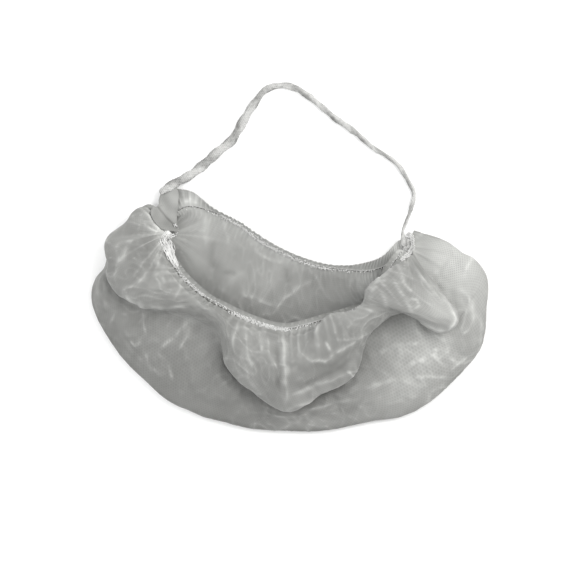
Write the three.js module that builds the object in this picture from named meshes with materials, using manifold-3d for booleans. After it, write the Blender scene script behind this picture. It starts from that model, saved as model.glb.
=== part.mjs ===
// A disposable beard net lying on its back: a pouch of fine knitted net with its mouth open upwards,
// two elastic lines sewn along the mouth, and a head loop of rolled net laid flat behind it.
// Millimetres, +Z up. The origin is on the surface that it rests on, under the open mouth.
import * as THREE from "three";
import { mergeVertices } from "three/addons/utils/BufferGeometryUtils.js";
import Module from "manifold-3d";

const wasm = await Module();
wasm.setup();

// Driving sizes of the net
const netWidth = 280; // across both lobes
const netLength = 160; // from the left lobe's top to the bottom fold
const netHeight = 42; // of the highest puff above the surface
const netWall = 1.1; // the soft net with the give of its crumples
const edgeLift = 6; // height of the outer fold's middle
const edgeReach = 9; // how far in from the outer fold its round shoulder lies
const edgeRise = 6; // how far the shoulder lies above the outer fold's middle
const backLift = 4; // height of the back hem
const headingLift = 6; // height of the ruffle's free edge
const hemReach = 3.2; // cloth on each side of an elastic's middle
const cornerStack = 5; // height of the gathered layers at the left corner
const backReach = 11; // from the back hem to where the cloth lies flat on the surface
const lipRise = 1.4; // how far the front hem's free edge turns up
const foldTuck = 9; // how far the front puff is folded back under itself
const foldDrop = 8; // how far below the fold's edge the tuck lies
const foldTurn = 8; // from the outer fold to where the cloth lies flat on the surface
const puffLean = 6; // how far a leaning puff hangs back over the mouth
const outerSwell = 5; // how far the outer panel swells above its chord

// Ripples and creases
const gatherCount = 11; // along the front of the mouth
const gatherHeight = 1.5;
const ruffleCount = 12; // along the free edge behind the back elastic
const ruffleHeight = 1.1;
const creaseHeight = 2.2;

// Elastic, strap and tacks
const elasticWidth = 4;
const elasticThickness = 1.6;
const pieceGap = 0.4; // between cloth, elastic, strap and tacks
const strapReach = 108; // of the loop's top over the line between the mouth's corners
const strapWidth = 5;
const strapThickness = 2.4;
const strapFloorGap = 0.15; // of the rolled strip over the surface, on its soft fuzz
const tackRadius = 6;
const tackHeight = 9;
const tackPleats = 7;
const tackPleatDepth = 0.12; // share of the radius
const tackLift = 1.8; // of the knob's underside

// Steps of the meshes
const netSteps = 66;
const netEnd = 0.35; // in sections, how far from each corner the cloth starts
const elasticEnd = 2; // steps of the net between a corner and an elastic
const cornerTurn = 7; // steps of the net in which the back hem turns out of the left corner
const tackColumns = 10; // steps of the net that a tack can reach
const strapSteps = 62;
const strapSides = 8;
const tackSides = 28;
const tackRings = 6;

// Easing of the cloth's grid
const relaxPasses = 6;
const relaxIn = 0.5; // share of the way to the neighbours' middle
const relaxOut = 0.42; // share of the way back out
const settleHeight = 2.5; // floor cloth nearer than this to the surface lies on it
const settleEnd = 3; // in sections, how far from each corner the floor cloth starts to settle

function table(columns, rows) {
  return rows.map((row) => Object.fromEntries(columns.map((name, place) => [name, row[place]])));
}

// Plan of the net, a row for each section from the mouth's left corner to its right corner. Each x is
// a share of netWidth and each y a share of netLength: the front of the mouth, the front puff's fold,
// the outer fold, the back of the mouth, and the free edge of the ruffle behind it.
const plan = table(
  ["rimX", "rimY", "foldX", "foldY", "edgeX", "edgeY", "backX", "backY", "headX", "headY"],
  [
    [-0.3, 0.241, -0.32, 0.245, -0.324, 0.28, -0.295, 0.262, -0.297, 0.271],
    [-0.307, 0.218, -0.355, 0.262, -0.337, 0.362, -0.292, 0.289, -0.296, 0.306],
    [-0.302, 0.179, -0.4, 0.21, -0.41, 0.3, -0.287, 0.319, -0.297, 0.367],
    [-0.292, 0.136, -0.425, 0.12, -0.467, 0.166, -0.272, 0.35, -0.292, 0.424],
    [-0.275, 0.083, -0.415, -0.017, -0.497, -0.017, -0.24, 0.359, -0.24, 0.416],
    [-0.242, 0.022, -0.355, -0.079, -0.462, -0.192, -0.195, 0.346, -0.197, 0.363],
    [-0.202, -0.035, -0.275, -0.096, -0.38, -0.359, -0.155, 0.315, -0.16, 0.337],
    [-0.17, -0.066, -0.185, -0.157, -0.305, -0.486, -0.122, 0.284, -0.125, 0.306],
    [-0.122, -0.109, -0.16, -0.341, -0.21, -0.551, -0.087, 0.236, -0.082, 0.258],
    [-0.067, -0.144, -0.07, -0.477, -0.107, -0.604, -0.035, 0.179, -0.027, 0.201],
    [-0.01, -0.166, -0.002, -0.525, -0.015, -0.612, 0.02, 0.136, 0.027, 0.157],
    [0.047, -0.144, 0.08, -0.455, 0.1, -0.612, 0.075, 0.105, 0.08, 0.127],
    [0.097, -0.118, 0.162, -0.367, 0.22, -0.569, 0.127, 0.092, 0.132, 0.114],
    [0.147, -0.092, 0.2, -0.197, 0.32, -0.525, 0.17, 0.083, 0.175, 0.114],
    [0.185, -0.057, 0.275, -0.109, 0.415, -0.381, 0.2, 0.083, 0.205, 0.127],
    [0.212, -0.009, 0.365, -0.188, 0.48, -0.201, 0.225, 0.092, 0.23, 0.144],
    [0.232, 0.048, 0.415, -0.14, 0.495, -0.004, 0.245, 0.109, 0.252, 0.179],
    [0.25, 0.101, 0.395, -0.035, 0.462, 0.144, 0.262, 0.14, 0.265, 0.206],
    [0.27, 0.149, 0.342, 0.079, 0.39, 0.21, 0.277, 0.166, 0.28, 0.219],
    [0.285, 0.179, 0.3, 0.171, 0.302, 0.214, 0.287, 0.188, 0.287, 0.21],
  ],
);

// Heights of the same sections as shares of netHeight: the front of the mouth, the crest of the puff
// and its fold. Then how far the puff leans back over the mouth, as a share of puffLean, how far its
// fold is tucked under, as a share of foldTuck, how far the outer panel swells, as a share of
// outerSwell, how far inside the back hem the cloth meets the surface, as a share of backReach, and
// how high its gathered layers lie on each other at the corners, as a share of cornerStack.
const lifts = table(
  ["rim", "puff", "fold", "lean", "tuck", "swell", "under", "stack"],
  [
    [0.25, 0.28, 0.22, 0, 0, 0, -0.2, 1],
    [0.27, 0.4, 0.3, 0, 0.3, 0, -0.25, 0.7],
    [0.31, 0.54, 0.38, 0, 0.7, 0.1, 0, 0.35],
    [0.38, 0.68, 0.44, 0.2, 0.8, 0.3, 0.5, 0],
    [0.46, 0.78, 0.48, 0.3, 1, 0.6, 0.9, 0],
    [0.52, 0.82, 0.5, 0.3, 1, 0.4, 1, 0],
    [0.57, 0.8, 0.54, 0.1, 0.8, 1, 1, 0],
    [0.6, 0.78, 0.56, 0, 0.5, 0.3, 1, 0],
    [0.6, 0.84, 0.52, 0, 1, 1, 1, 0],
    [0.6, 0.88, 0.48, 0, 1, 0.3, 1, 0],
    [0.6, 0.92, 0.45, 0, 1, 0.2, 1, 0],
    [0.58, 0.9, 0.46, 0.3, 1, 0.3, 1, 0],
    [0.56, 0.9, 0.5, 0.9, 1, 0.9, 1, 0],
    [0.53, 0.9, 0.54, 0.6, 0.9, 0.3, 1, 0],
    [0.49, 0.88, 0.56, 0.8, 0.9, 1.1, 1, 0],
    [0.43, 0.94, 0.56, 1.2, 0.6, 0.4, 0.9, 0],
    [0.37, 0.95, 0.52, 1, 0.5, 0.3, 0.7, 0],
    [0.3, 0.78, 0.44, 0.7, 0.7, 0.2, 0.4, 0],
    [0.24, 0.5, 0.32, 0.2, 0.6, 0, 0.2, 0.1],
    [0.2, 0.24, 0.19, 0, 0, 0, 0.1, 0.35],
  ],
);

// Places round a section, in the order that the cloth runs
const placeNames = [
  "lip", "rim", "hem", "rise", "lean", "crest", "brow", "fold", "tuckTop", "tuckFoot", "panel",
  "shoulder", "edge", "turn", "floorFront", "floorBack", "back", "head",
];
const place = Object.fromEntries(placeNames.map((name, index) => [name, index]));
const lastPlace = placeNames.length - 1;
const lastSection = plan.length - 1;

// Steps of the mesh between one place and the next
const placeSteps = [1, 1, 1, 2, 2, 2, 2, 2, 1, 2, 2, 2, 2, 1, 2, 2, 2];

// Creases and dents: where each starts and ends, as section and place, its height as a share of
// creaseHeight, outwards from the cloth, and its reach in sections.
const creases = table(
  ["fromSection", "fromPlace", "toSection", "toPlace", "height", "reach"],
  [
    [10.1, 3.6, 9.9, 6.6, 1, 0.28],
    [8.7, 3.8, 8.6, 6.4, 0.7, 0.3],
    [11.6, 4, 11.9, 6.5, -0.8, 0.35],
    [4.2, 4.6, 4.6, 6.6, -0.9, 0.35],
    [3, 4.4, 2.8, 6.4, 0.7, 0.3],
    [5.2, 9.2, 5.6, 11, -0.9, 0.4],
    [6.6, 9.4, 7.2, 11, 0.8, 0.4],
    [14.2, 9.2, 14.6, 11, -1, 0.45],
    [15.8, 9.2, 16.4, 11, 0.8, 0.35],
    [15.2, 4.6, 15.5, 6.4, -0.9, 0.4],
    [17, 4.4, 17, 6.2, 0.7, 0.35],
    [6.4, 14.4, 8.2, 15.2, -0.7, 0.5],
    [9.6, 14.8, 12, 15.3, -0.6, 0.5],
  ],
);

// Route of the head loop from the left corner to the right one: how far across between the corners,
// how far out as a share of strapReach, the width as a share of strapWidth, and the height as a share
// of what lies under it, the ruffle at 1 and the bare surface at 0.
const strapRoute = table(
  ["across", "out", "width", "lift"],
  [
    [0.004, 0.02, 1.5, 1],
    [-0.013, 0.115, 2, 1],
    [-0.028, 0.19, 1.8, 1],
    [-0.03, 0.245, 1.3, 0.9],
    [-0.006, 0.279, 1.15, 0.6],
    [0.03, 0.311, 1.1, 0.25],
    [0.09, 0.382, 1.05, 0],
    [0.211, 0.542, 1, 0],
    [0.264, 0.616, 0.9, 0],
    [0.303, 0.717, 0.95, 0],
    [0.341, 0.838, 0.9, 0],
    [0.401, 0.964, 0.75, 0],
    [0.465, 0.997, 0.7, 0],
    [0.525, 0.984, 0.75, 0],
    [0.584, 0.926, 0.85, 0],
    [0.699, 0.803, 0.75, 0],
    [0.806, 0.704, 0.7, 0],
    [0.866, 0.633, 0.75, 0],
    [0.927, 0.588, 0.7, 0],
    [0.972, 0.535, 0.65, 0],
    [1.011, 0.448, 0.6, 0],
    [1.036, 0.36, 0.55, 0],
    [1.028, 0.266, 0.5, 0.2],
    [1.006, 0.169, 0.45, 0.7],
    [0.991, 0.11, 0.4, 1],
    [0.994, 0.051, 0.8, 1],
    [1.002, 0.006, 0.6, 1],
  ],
);

const cloth = new THREE.MeshStandardMaterial({ color: 0xb9b9b6, roughness: 0.8, metalness: 0 });
const elastic = new THREE.MeshStandardMaterial({ color: 0xe4e4e0, roughness: 0.7, metalness: 0 });
const strapNet = new THREE.MeshStandardMaterial({ color: 0xcfcfcc, roughness: 0.75, metalness: 0 });
const tackThread = new THREE.MeshStandardMaterial({ color: 0xf2f2ef, roughness: 0.7, metalness: 0 });

const mix = THREE.MathUtils.lerp;

function onPlan(across, along, height) {
  return new THREE.Vector3(across * netWidth, along * netLength, height);
}

// A point that lies this many millimetres from one point towards another, seen from above
function stepTowards(from, to, distance, height) {
  const way = new THREE.Vector3(to.x - from.x, to.y - from.y, 0).normalize();
  return new THREE.Vector3(from.x + way.x * distance, from.y + way.y * distance, height);
}

function planDistance(a, b) {
  return Math.hypot(a.x - b.x, a.y - b.y);
}

// Points of one kind for every section, seen from above
function outline(name) {
  return plan.map((at) => onPlan(at[name + "X"], at[name + "Y"], 0));
}
const rims = outline("rim");
const folds = outline("fold");
const edges = outline("edge");
const backs = outline("back");
const heads = outline("head");

// The direction square to an outline at one of its points, to the left of its way round
function leftOf(points, index) {
  const before = points[Math.max(index - 1, 0)];
  const after = points[Math.min(index + 1, points.length - 1)];
  return new THREE.Vector3(before.y - after.y, after.x - before.x, 0).normalize();
}

function shifted(point, way, distance, height) {
  return new THREE.Vector3(point.x + way.x * distance, point.y + way.y * distance, height);
}

// One section of the pouch: over the front puff, under its tuck, out to the outer fold, back along
// the surface, over the back hem and up to the ruffle's edge
function sectionPoints(index) {
  const lift = lifts[index];
  const rim = rims[index].clone().setZ(lift.rim * netHeight);
  const fold = folds[index].clone().setZ(lift.fold * netHeight);
  const stack = cornerStack * lift.stack;
  const floor = netWall / 2 + stack;
  const edge = edges[index].clone().setZ(edgeLift + stack / 4);
  const back = backs[index].clone().setZ(backLift + stack / 2);
  const head = heads[index].clone().setZ(headingLift + stack / 2);
  const puffRun = planDistance(rim, fold);
  const floorRun = planDistance(edge, back);
  const spread = THREE.MathUtils.smoothstep(floorRun, foldTurn, foldTurn * 3);
  const puffHeight = (share) => mix(rim.z, lift.puff * netHeight, share);
  const riseReach = Math.min(hemReach * 1.5, puffRun / 5);
  const leanReach = mix(puffRun / 3.5, -puffLean, lift.lean);
  const fromFold = leftOf(folds, index);
  const fromEdge = leftOf(edges, index);
  const browReach = Math.min(foldTuck, puffRun / 4);
  const openFold = fold.clone().lerp(edge, 0.3);
  const tucked = (reach, drop) => {
    return openFold.clone().lerp(shifted(fold, fromFold, foldTuck * reach, fold.z - foldDrop * drop), lift.tuck);
  };
  const tuckTop = tucked(1, 0.4);
  const tuckFoot = tucked(0.85, 1.05);
  const outerRun = planDistance(tuckFoot, edge);
  const shoulder = shifted(edge, fromEdge, Math.min(edgeReach, outerRun / 3), edge.z);
  shoulder.z = Math.min(edge.z + edgeRise * spread, mix(edge.z, tuckFoot.z, 0.8));
  const panel = tuckFoot.clone().lerp(shoulder, 0.5);
  panel.z += outerSwell * lift.swell;
  const turn = shifted(edge, fromEdge, Math.min(foldTurn, floorRun / 4), floor);
  const floorBack = shifted(back, leftOf(backs, index), -backReach * lift.under, floor);
  return [
    stepTowards(rim, fold, -hemReach, rim.z + lipRise),
    rim,
    stepTowards(rim, fold, Math.min(hemReach, puffRun / 8), rim.z),
    stepTowards(rim, fold, riseReach, puffHeight(0.3)),
    stepTowards(rim, fold, leanReach, puffHeight(0.66)),
    stepTowards(rim, fold, 0.45 * puffRun, puffHeight(1)),
    shifted(fold, fromFold, browReach * 0.6, mix(fold.z, lift.puff * netHeight, 0.6)),
    fold,
    tuckTop,
    tuckFoot,
    panel,
    shoulder,
    edge,
    turn,
    turn.clone().lerp(floorBack, 0.45),
    floorBack,
    back,
    head,
  ];
}

const sectionRows = plan.map((row, index) => sectionPoints(index));
const guides = placeNames.map((name, index) => {
  const points = sectionRows.map((points) => points[index]);
  return new THREE.CatmullRomCurve3(points, false, "centripetal");
});

const sectionCache = new Map();
function sectionCurve(section) {
  if (!sectionCache.has(section)) {
    const points = guides.map((guide) => guide.getPoint(section / lastSection));
    sectionCache.set(section, new THREE.CatmullRomCurve3(points, false, "centripetal"));
  }
  return sectionCache.get(section);
}

// The middle of the cloth before its ripples, by section number and place number
function smoothPoint(section, spot) {
  const point = sectionCurve(section).getPoint(spot / lastPlace);
  point.z = Math.max(point.z, netWall / 2);
  return point;
}

// Rises from 0 at one place to 1 at the next, and falls again between two later places
function band(spot, start, full, fading, end) {
  const rising = THREE.MathUtils.smoothstep(spot, start, full);
  return rising * (1 - THREE.MathUtils.smoothstep(spot, fading, end));
}

function distanceToCrease(crease, section, spot) {
  const runSection = crease.toSection - crease.fromSection;
  const runPlace = crease.toPlace - crease.fromPlace;
  const offSection = section - crease.fromSection;
  const offPlace = spot - crease.fromPlace;
  const along = (offSection * runSection + offPlace * runPlace) / (runSection ** 2 + runPlace ** 2);
  const near = THREE.MathUtils.clamp(along, 0, 1);
  return Math.hypot(offSection - near * runSection, offPlace - near * runPlace);
}

// How far the cloth stands out of its smooth form, in millimetres
function relief(section, spot) {
  const turn = (section / lastSection) * 2 * Math.PI;
  const ends = band(section, 1, 2.5, lastSection - 2.5, lastSection - 1);
  const gathers = gatherHeight * Math.cos(gatherCount * turn) * band(spot, place.rise, place.lean, place.crest, place.fold);
  const ruffles = ruffleHeight * Math.cos(ruffleCount * turn) * band(spot, place.back + 0.4, place.head, 99, 100);
  let creased = 0;
  for (const crease of creases) {
    const share = distanceToCrease(crease, section, spot) / crease.reach;
    creased += creaseHeight * crease.height * Math.exp(-share * share);
  }
  return ends * (gathers + ruffles + creased);
}

function evenSteps(start, end, steps) {
  return Array.from({ length: steps + 1 }, (_, step) => mix(start, end, step / steps));
}

// The middle of the cloth is a grid of points, a column for each section and a row for each place
const netSections = evenSteps(netEnd, lastSection - netEnd, netSteps);
const netSpots = [0];
placeSteps.forEach((steps, index) => netSpots.push(...evenSteps(index, index + 1, steps).slice(1)));
const rowOf = (name) => netSpots.indexOf(place[name]);

function neighbour(grid, column, row, columnStep, rowStep) {
  const across = Math.min(Math.max(column + columnStep, 0), grid.length - 1);
  const along = Math.min(Math.max(row + rowStep, 0), grid[0].length - 1);
  return grid[across][along];
}

// Each point moves part of the way to the middle of its neighbours, or away from it
function relaxed(grid, share) {
  return grid.map((points, column) => points.map((point, row) => {
    const middle = new THREE.Vector3();
    const edgeRow = row === 0 || row === points.length - 1;
    const steps = edgeRow ? [[-1, 0], [1, 0]] : [[-1, 0], [1, 0], [0, -1], [0, 1]];
    steps.forEach(([acrossStep, alongStep]) => {
      middle.addScaledVector(neighbour(grid, column, row, acrossStep, alongStep), 1 / steps.length);
    });
    const moved = point.clone().lerp(middle, share);
    moved.z = Math.max(moved.z, netWall / 2);
    return moved;
  }));
}

function normalsOf(grid) {
  return grid.map((points, column) => points.map((point, row) => {
    const along = neighbour(grid, column, row, 1, 0).clone().sub(neighbour(grid, column, row, -1, 0));
    const across = neighbour(grid, column, row, 0, 1).clone().sub(neighbour(grid, column, row, 0, -1));
    return along.cross(across).normalize();
  }));
}

function settles(section, spot) {
  const inside = section > settleEnd && section < lastSection - settleEnd;
  return inside && spot >= place.turn && spot <= place.floorBack;
}

function netGrid() {
  let grid = netSections.map((section) => netSpots.map((spot) => smoothPoint(section, spot)));
  // Smoothed by turns in and out, so that no bend is sharper than the wall and the form keeps its size
  for (let pass = 0; pass < relaxPasses; pass += 1) {
    grid = relaxed(relaxed(grid, relaxIn), -relaxOut);
  }
  const inward = normalsOf(grid);
  return grid.map((points, column) => points.map((point, row) => {
    const stood = point.clone().addScaledVector(inward[column][row], -relief(netSections[column], netSpots[row]));
    stood.z = Math.max(stood.z, netWall / 2);
    if (settles(netSections[column], netSpots[row]) && stood.z < netWall / 2 + settleHeight) {
      stood.z = netWall / 2;
    }
    return stood;
  }));
}
const clothPoints = netGrid();
const clothNormals = normalsOf(clothPoints);

function geometryOf(vertices, faces) {
  const geometry = new THREE.BufferGeometry();
  geometry.setAttribute("position", new THREE.Float32BufferAttribute(vertices.flatMap((v) => v.toArray()), 3));
  geometry.setIndex(faces.flat());
  return geometry;
}

// A closed sheet between two offsets from a grid of points, counted along their normals
function sheetGeometry(points, normals, low, high) {
  const columns = points.length;
  const rows = points[0].length;
  const vertices = [];
  for (const offset of [low, high]) {
    points.forEach((column, i) => column.forEach((point, j) => {
      vertices.push(point.clone().addScaledVector(normals[i][j], offset));
    }));
  }
  const layer = columns * rows;
  const faces = [];
  const quad = (a, b, c, d) => faces.push([a, b, c], [a, c, d]);
  for (let i = 0; i < columns - 1; i += 1) {
    for (let j = 0; j < rows - 1; j += 1) {
      const a = i * rows + j;
      quad(layer + a, layer + a + rows, layer + a + rows + 1, layer + a + 1);
      quad(a, a + 1, a + rows + 1, a + rows);
    }
    const first = i * rows;
    const last = first + rows - 1;
    quad(first, first + rows, layer + first + rows, layer + first);
    quad(last, layer + last, layer + last + rows, last + rows);
  }
  const end = (columns - 1) * rows;
  for (let j = 0; j < rows - 1; j += 1) {
    quad(j, layer + j, layer + j + 1, j + 1);
    quad(end + j, end + j + 1, layer + end + j + 1, layer + end + j);
  }
  return geometryOf(vertices, faces);
}

// Moves a sheet's border outwards on all four sides
function lengthened(points, distance) {
  const lastColumn = points.length - 1;
  const lastRow = points[0].length - 1;
  const away = (column, row, innerColumn, innerRow) => {
    return points[column][row].clone().sub(points[innerColumn][innerRow]).normalize().multiplyScalar(distance);
  };
  return points.map((column, i) => column.map((point, j) => {
    const moved = point.clone();
    if (i === 0) moved.add(away(0, j, 1, j));
    if (i === lastColumn) moved.add(away(i, j, i - 1, j));
    if (j === 0) moved.add(away(i, 0, i, 1));
    if (j === lastRow) moved.add(away(i, j, i, j - 1));
    return moved;
  }));
}

// The cloth between two columns of its grid, with its wall grown by this much all round
function netGeometry(firstColumn, lastColumn, grow) {
  const points = lengthened(clothPoints.slice(firstColumn, lastColumn + 1), grow);
  const normals = clothNormals.slice(firstColumn, lastColumn + 1);
  return sheetGeometry(points, normals, -netWall / 2 - grow, netWall / 2 + grow);
}

// The point and the normal this many millimetres past a row of a column, along the cloth
function alongColumn(column, row, distance) {
  const points = clothPoints[column];
  const step = Math.sign(distance);
  let left = Math.abs(distance);
  let at = row;
  while (points[at + step] && points[at].distanceTo(points[at + step]) < left) {
    left -= points[at].distanceTo(points[at + step]);
    at += step;
  }
  const next = points[at + step] ? at + step : at;
  const share = next === at ? 0 : left / points[at].distanceTo(points[next]);
  return {
    point: points[at].clone().lerp(points[next], share),
    normal: clothNormals[column][at].clone().lerp(clothNormals[column][next], share).normalize(),
  };
}

// An elastic is a flat band that follows the cloth on one side of it
function elasticGeometry(row, side, firstColumn, grow) {
  const near = netWall / 2 + pieceGap - grow;
  const far = netWall / 2 + pieceGap + elasticThickness + grow;
  const [low, high] = side > 0 ? [near, far] : [-far, -near];
  const points = [];
  const normals = [];
  for (let column = firstColumn; column <= netSteps - elasticEnd; column += 1) {
    const strip = [-1, 0, 1].map((share) => alongColumn(column, row, (share * elasticWidth) / 2));
    points.push(strip.map((spot) => spot.point));
    normals.push(strip.map((spot) => spot.normal));
  }
  return sheetGeometry(lengthened(points, grow), normals, low, high);
}

const frontElastic = (grow) => elasticGeometry(rowOf("rim"), -1, elasticEnd, grow);
const backElastic = (grow) => elasticGeometry(rowOf("back"), 1, cornerTurn, grow);

// The corners of the mouth, where cloth, elastics and strap are tacked together
function cornerPoint(section) {
  return smoothPoint(section, place.rim).lerp(smoothPoint(section, place.back), 0.5);
}
const leftCorner = cornerPoint(0);
const rightCorner = cornerPoint(lastSection);

const ruffleTop = headingLift + ruffleHeight + netWall / 2 + pieceGap;
const strapPoints = strapRoute.map((row) => {
  const middle = leftCorner.clone().lerp(rightCorner, row.across);
  middle.y += row.out * strapReach;
  middle.z = strapThickness / 2 + strapFloorGap + row.lift * ruffleTop;
  return middle;
});
const strapCurve = new THREE.CatmullRomCurve3(strapPoints, false, "catmullrom", 0.5);
const strapWidths = new THREE.CatmullRomCurve3(
  strapRoute.map((row) => new THREE.Vector3(row.width, 0, 0)),
  false,
  "catmullrom",
  0.5,
);

// The rolled strip: an oval section that lies flat, wider and thinner where it is pressed flat
function strapGeometry(grow) {
  const vertices = [];
  for (let step = 0; step <= strapSteps; step += 1) {
    const t = strapCurve.getUtoTmapping(step / strapSteps);
    const middle = strapCurve.getPoint(t);
    const along = strapCurve.getTangent(t);
    const sideways = new THREE.Vector3(0, 0, 1).cross(along).normalize();
    const up = along.clone().cross(sideways);
    const share = strapWidths.getPoint(t).x;
    const halfWidth = (share * strapWidth) / 2 + grow;
    const halfThickness = strapThickness / 2 / Math.max(1, share) + grow;
    for (let side = 0; side < strapSides; side += 1) {
      const angle = (side / strapSides) * 2 * Math.PI;
      const point = middle.clone();
      point.addScaledVector(sideways, halfWidth * Math.cos(angle));
      point.addScaledVector(up, halfThickness * Math.sin(angle));
      vertices.push(point);
    }
  }
  const faces = [];
  for (let step = 0; step < strapSteps; step += 1) {
    for (let side = 0; side < strapSides; side += 1) {
      const a = step * strapSides + side;
      const b = step * strapSides + ((side + 1) % strapSides);
      faces.push([a, b + strapSides, a + strapSides], [a, b, b + strapSides]);
    }
  }
  const end = strapSteps * strapSides;
  for (let side = 1; side < strapSides - 1; side += 1) {
    faces.push([0, side + 1, side], [end, end + side, end + side + 1]);
  }
  return geometryOf(vertices, faces);
}

// A tack is a pleated knob of cloth and thread round the corner's ends
function knobGeometry(corner) {
  const profile = [];
  for (let ring = 0; ring <= tackRings; ring += 1) {
    const angle = (ring / tackRings - 0.5) * Math.PI;
    const lift = (tackHeight / 2) * Math.sin(angle);
    profile.push(new THREE.Vector2(tackRadius * Math.cos(angle), lift));
  }
  profile[0].x = 0;
  profile[tackRings].x = 0;
  const knob = new THREE.LatheGeometry(profile, tackSides);
  knob.rotateX(Math.PI / 2);
  const spots = knob.attributes.position;
  for (let index = 0; index < spots.count; index += 1) {
    const angle = Math.atan2(spots.getY(index), spots.getX(index));
    const pleat = 1 + tackPleatDepth * Math.cos(tackPleats * angle);
    spots.setX(index, spots.getX(index) * pleat);
    spots.setY(index, spots.getY(index) * pleat);
  }
  knob.translate(corner.x, corner.y, tackLift + tackHeight / 2);
  return knob;
}

function solidOf(geometry) {
  const bare = geometry.clone();
  bare.deleteAttribute("normal");
  bare.deleteAttribute("uv");
  const merged = mergeVertices(bare, 1e-4);
  const mesh = new wasm.Mesh({
    numProp: 3,
    vertProperties: new Float32Array(merged.attributes.position.array),
    triVerts: new Uint32Array(merged.index.array),
  });
  return new wasm.Manifold(mesh);
}

function geometryFrom(solid) {
  const mesh = solid.getMesh();
  const geometry = new THREE.BufferGeometry();
  geometry.setAttribute("position", new THREE.BufferAttribute(mesh.vertProperties, 3));
  geometry.setIndex(new THREE.BufferAttribute(mesh.triVerts, 1));
  return geometry;
}

function tackGeometry(corner, firstColumn, lastColumn) {
  let solid = solidOf(knobGeometry(corner));
  const nearPieces = [
    netGeometry(firstColumn, lastColumn, pieceGap),
    frontElastic(pieceGap),
    backElastic(pieceGap),
    strapGeometry(pieceGap),
  ];
  for (const piece of nearPieces) {
    solid = solid.subtract(solidOf(piece));
  }
  // The cloth cuts slivers off the knob, and only its main body is the tack
  const bodies = solid.simplify(pieceGap / 10).decompose().sort((a, b) => b.volume() - a.volume());
  return geometryFrom(bodies[0]);
}

const beardNet = new THREE.Group();
function addPiece(name, geometry, material) {
  const mesh = new THREE.Mesh(geometry, material);
  mesh.name = name;
  beardNet.add(mesh);
}

addPiece("net_pouch", netGeometry(0, netSteps, 0), cloth);
addPiece("front_elastic", frontElastic(0), elastic);
addPiece("back_elastic", backElastic(0), elastic);
addPiece("head_strap", strapGeometry(0), strapNet);
addPiece("left_gather", tackGeometry(leftCorner, 0, tackColumns), tackThread);
addPiece("right_gather", tackGeometry(rightCorner, netSteps - tackColumns, netSteps), tackThread);

export default beardNet;
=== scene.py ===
import math
import random

import bmesh
import bpy
import numpy as np
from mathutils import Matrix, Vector, noise


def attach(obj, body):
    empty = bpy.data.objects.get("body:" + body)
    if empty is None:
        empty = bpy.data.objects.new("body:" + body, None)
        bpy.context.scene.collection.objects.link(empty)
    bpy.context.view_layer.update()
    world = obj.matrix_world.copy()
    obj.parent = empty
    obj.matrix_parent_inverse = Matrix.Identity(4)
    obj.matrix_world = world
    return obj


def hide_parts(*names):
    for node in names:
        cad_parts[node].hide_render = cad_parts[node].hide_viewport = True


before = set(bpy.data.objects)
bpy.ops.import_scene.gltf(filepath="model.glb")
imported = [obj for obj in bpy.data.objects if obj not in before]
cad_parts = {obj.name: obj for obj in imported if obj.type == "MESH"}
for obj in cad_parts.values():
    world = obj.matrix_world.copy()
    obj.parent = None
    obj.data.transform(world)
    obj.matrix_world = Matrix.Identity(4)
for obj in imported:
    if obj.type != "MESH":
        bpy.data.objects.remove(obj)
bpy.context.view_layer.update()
mm = 0.001

# The camera looks straight down, and its frame is 580 pixels of 0.7 mm at the net's middle height
camera = dict(lens=180.0, frame=0.406, level=0.014, pixels=580, pixel=0.7)

lights = dict(
    floorColor=(0.93, 0.93, 0.925), world=0.88,
    key=dict(at=(0.82, 0.46, 0.95), size=0.9, power=12.5, color=(1.0, 0.996, 0.985)),
    fill=dict(at=(-0.85, 0.1, 1.0), size=1.2, power=8.2, color=(0.985, 0.99, 1.0)),
)

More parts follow.
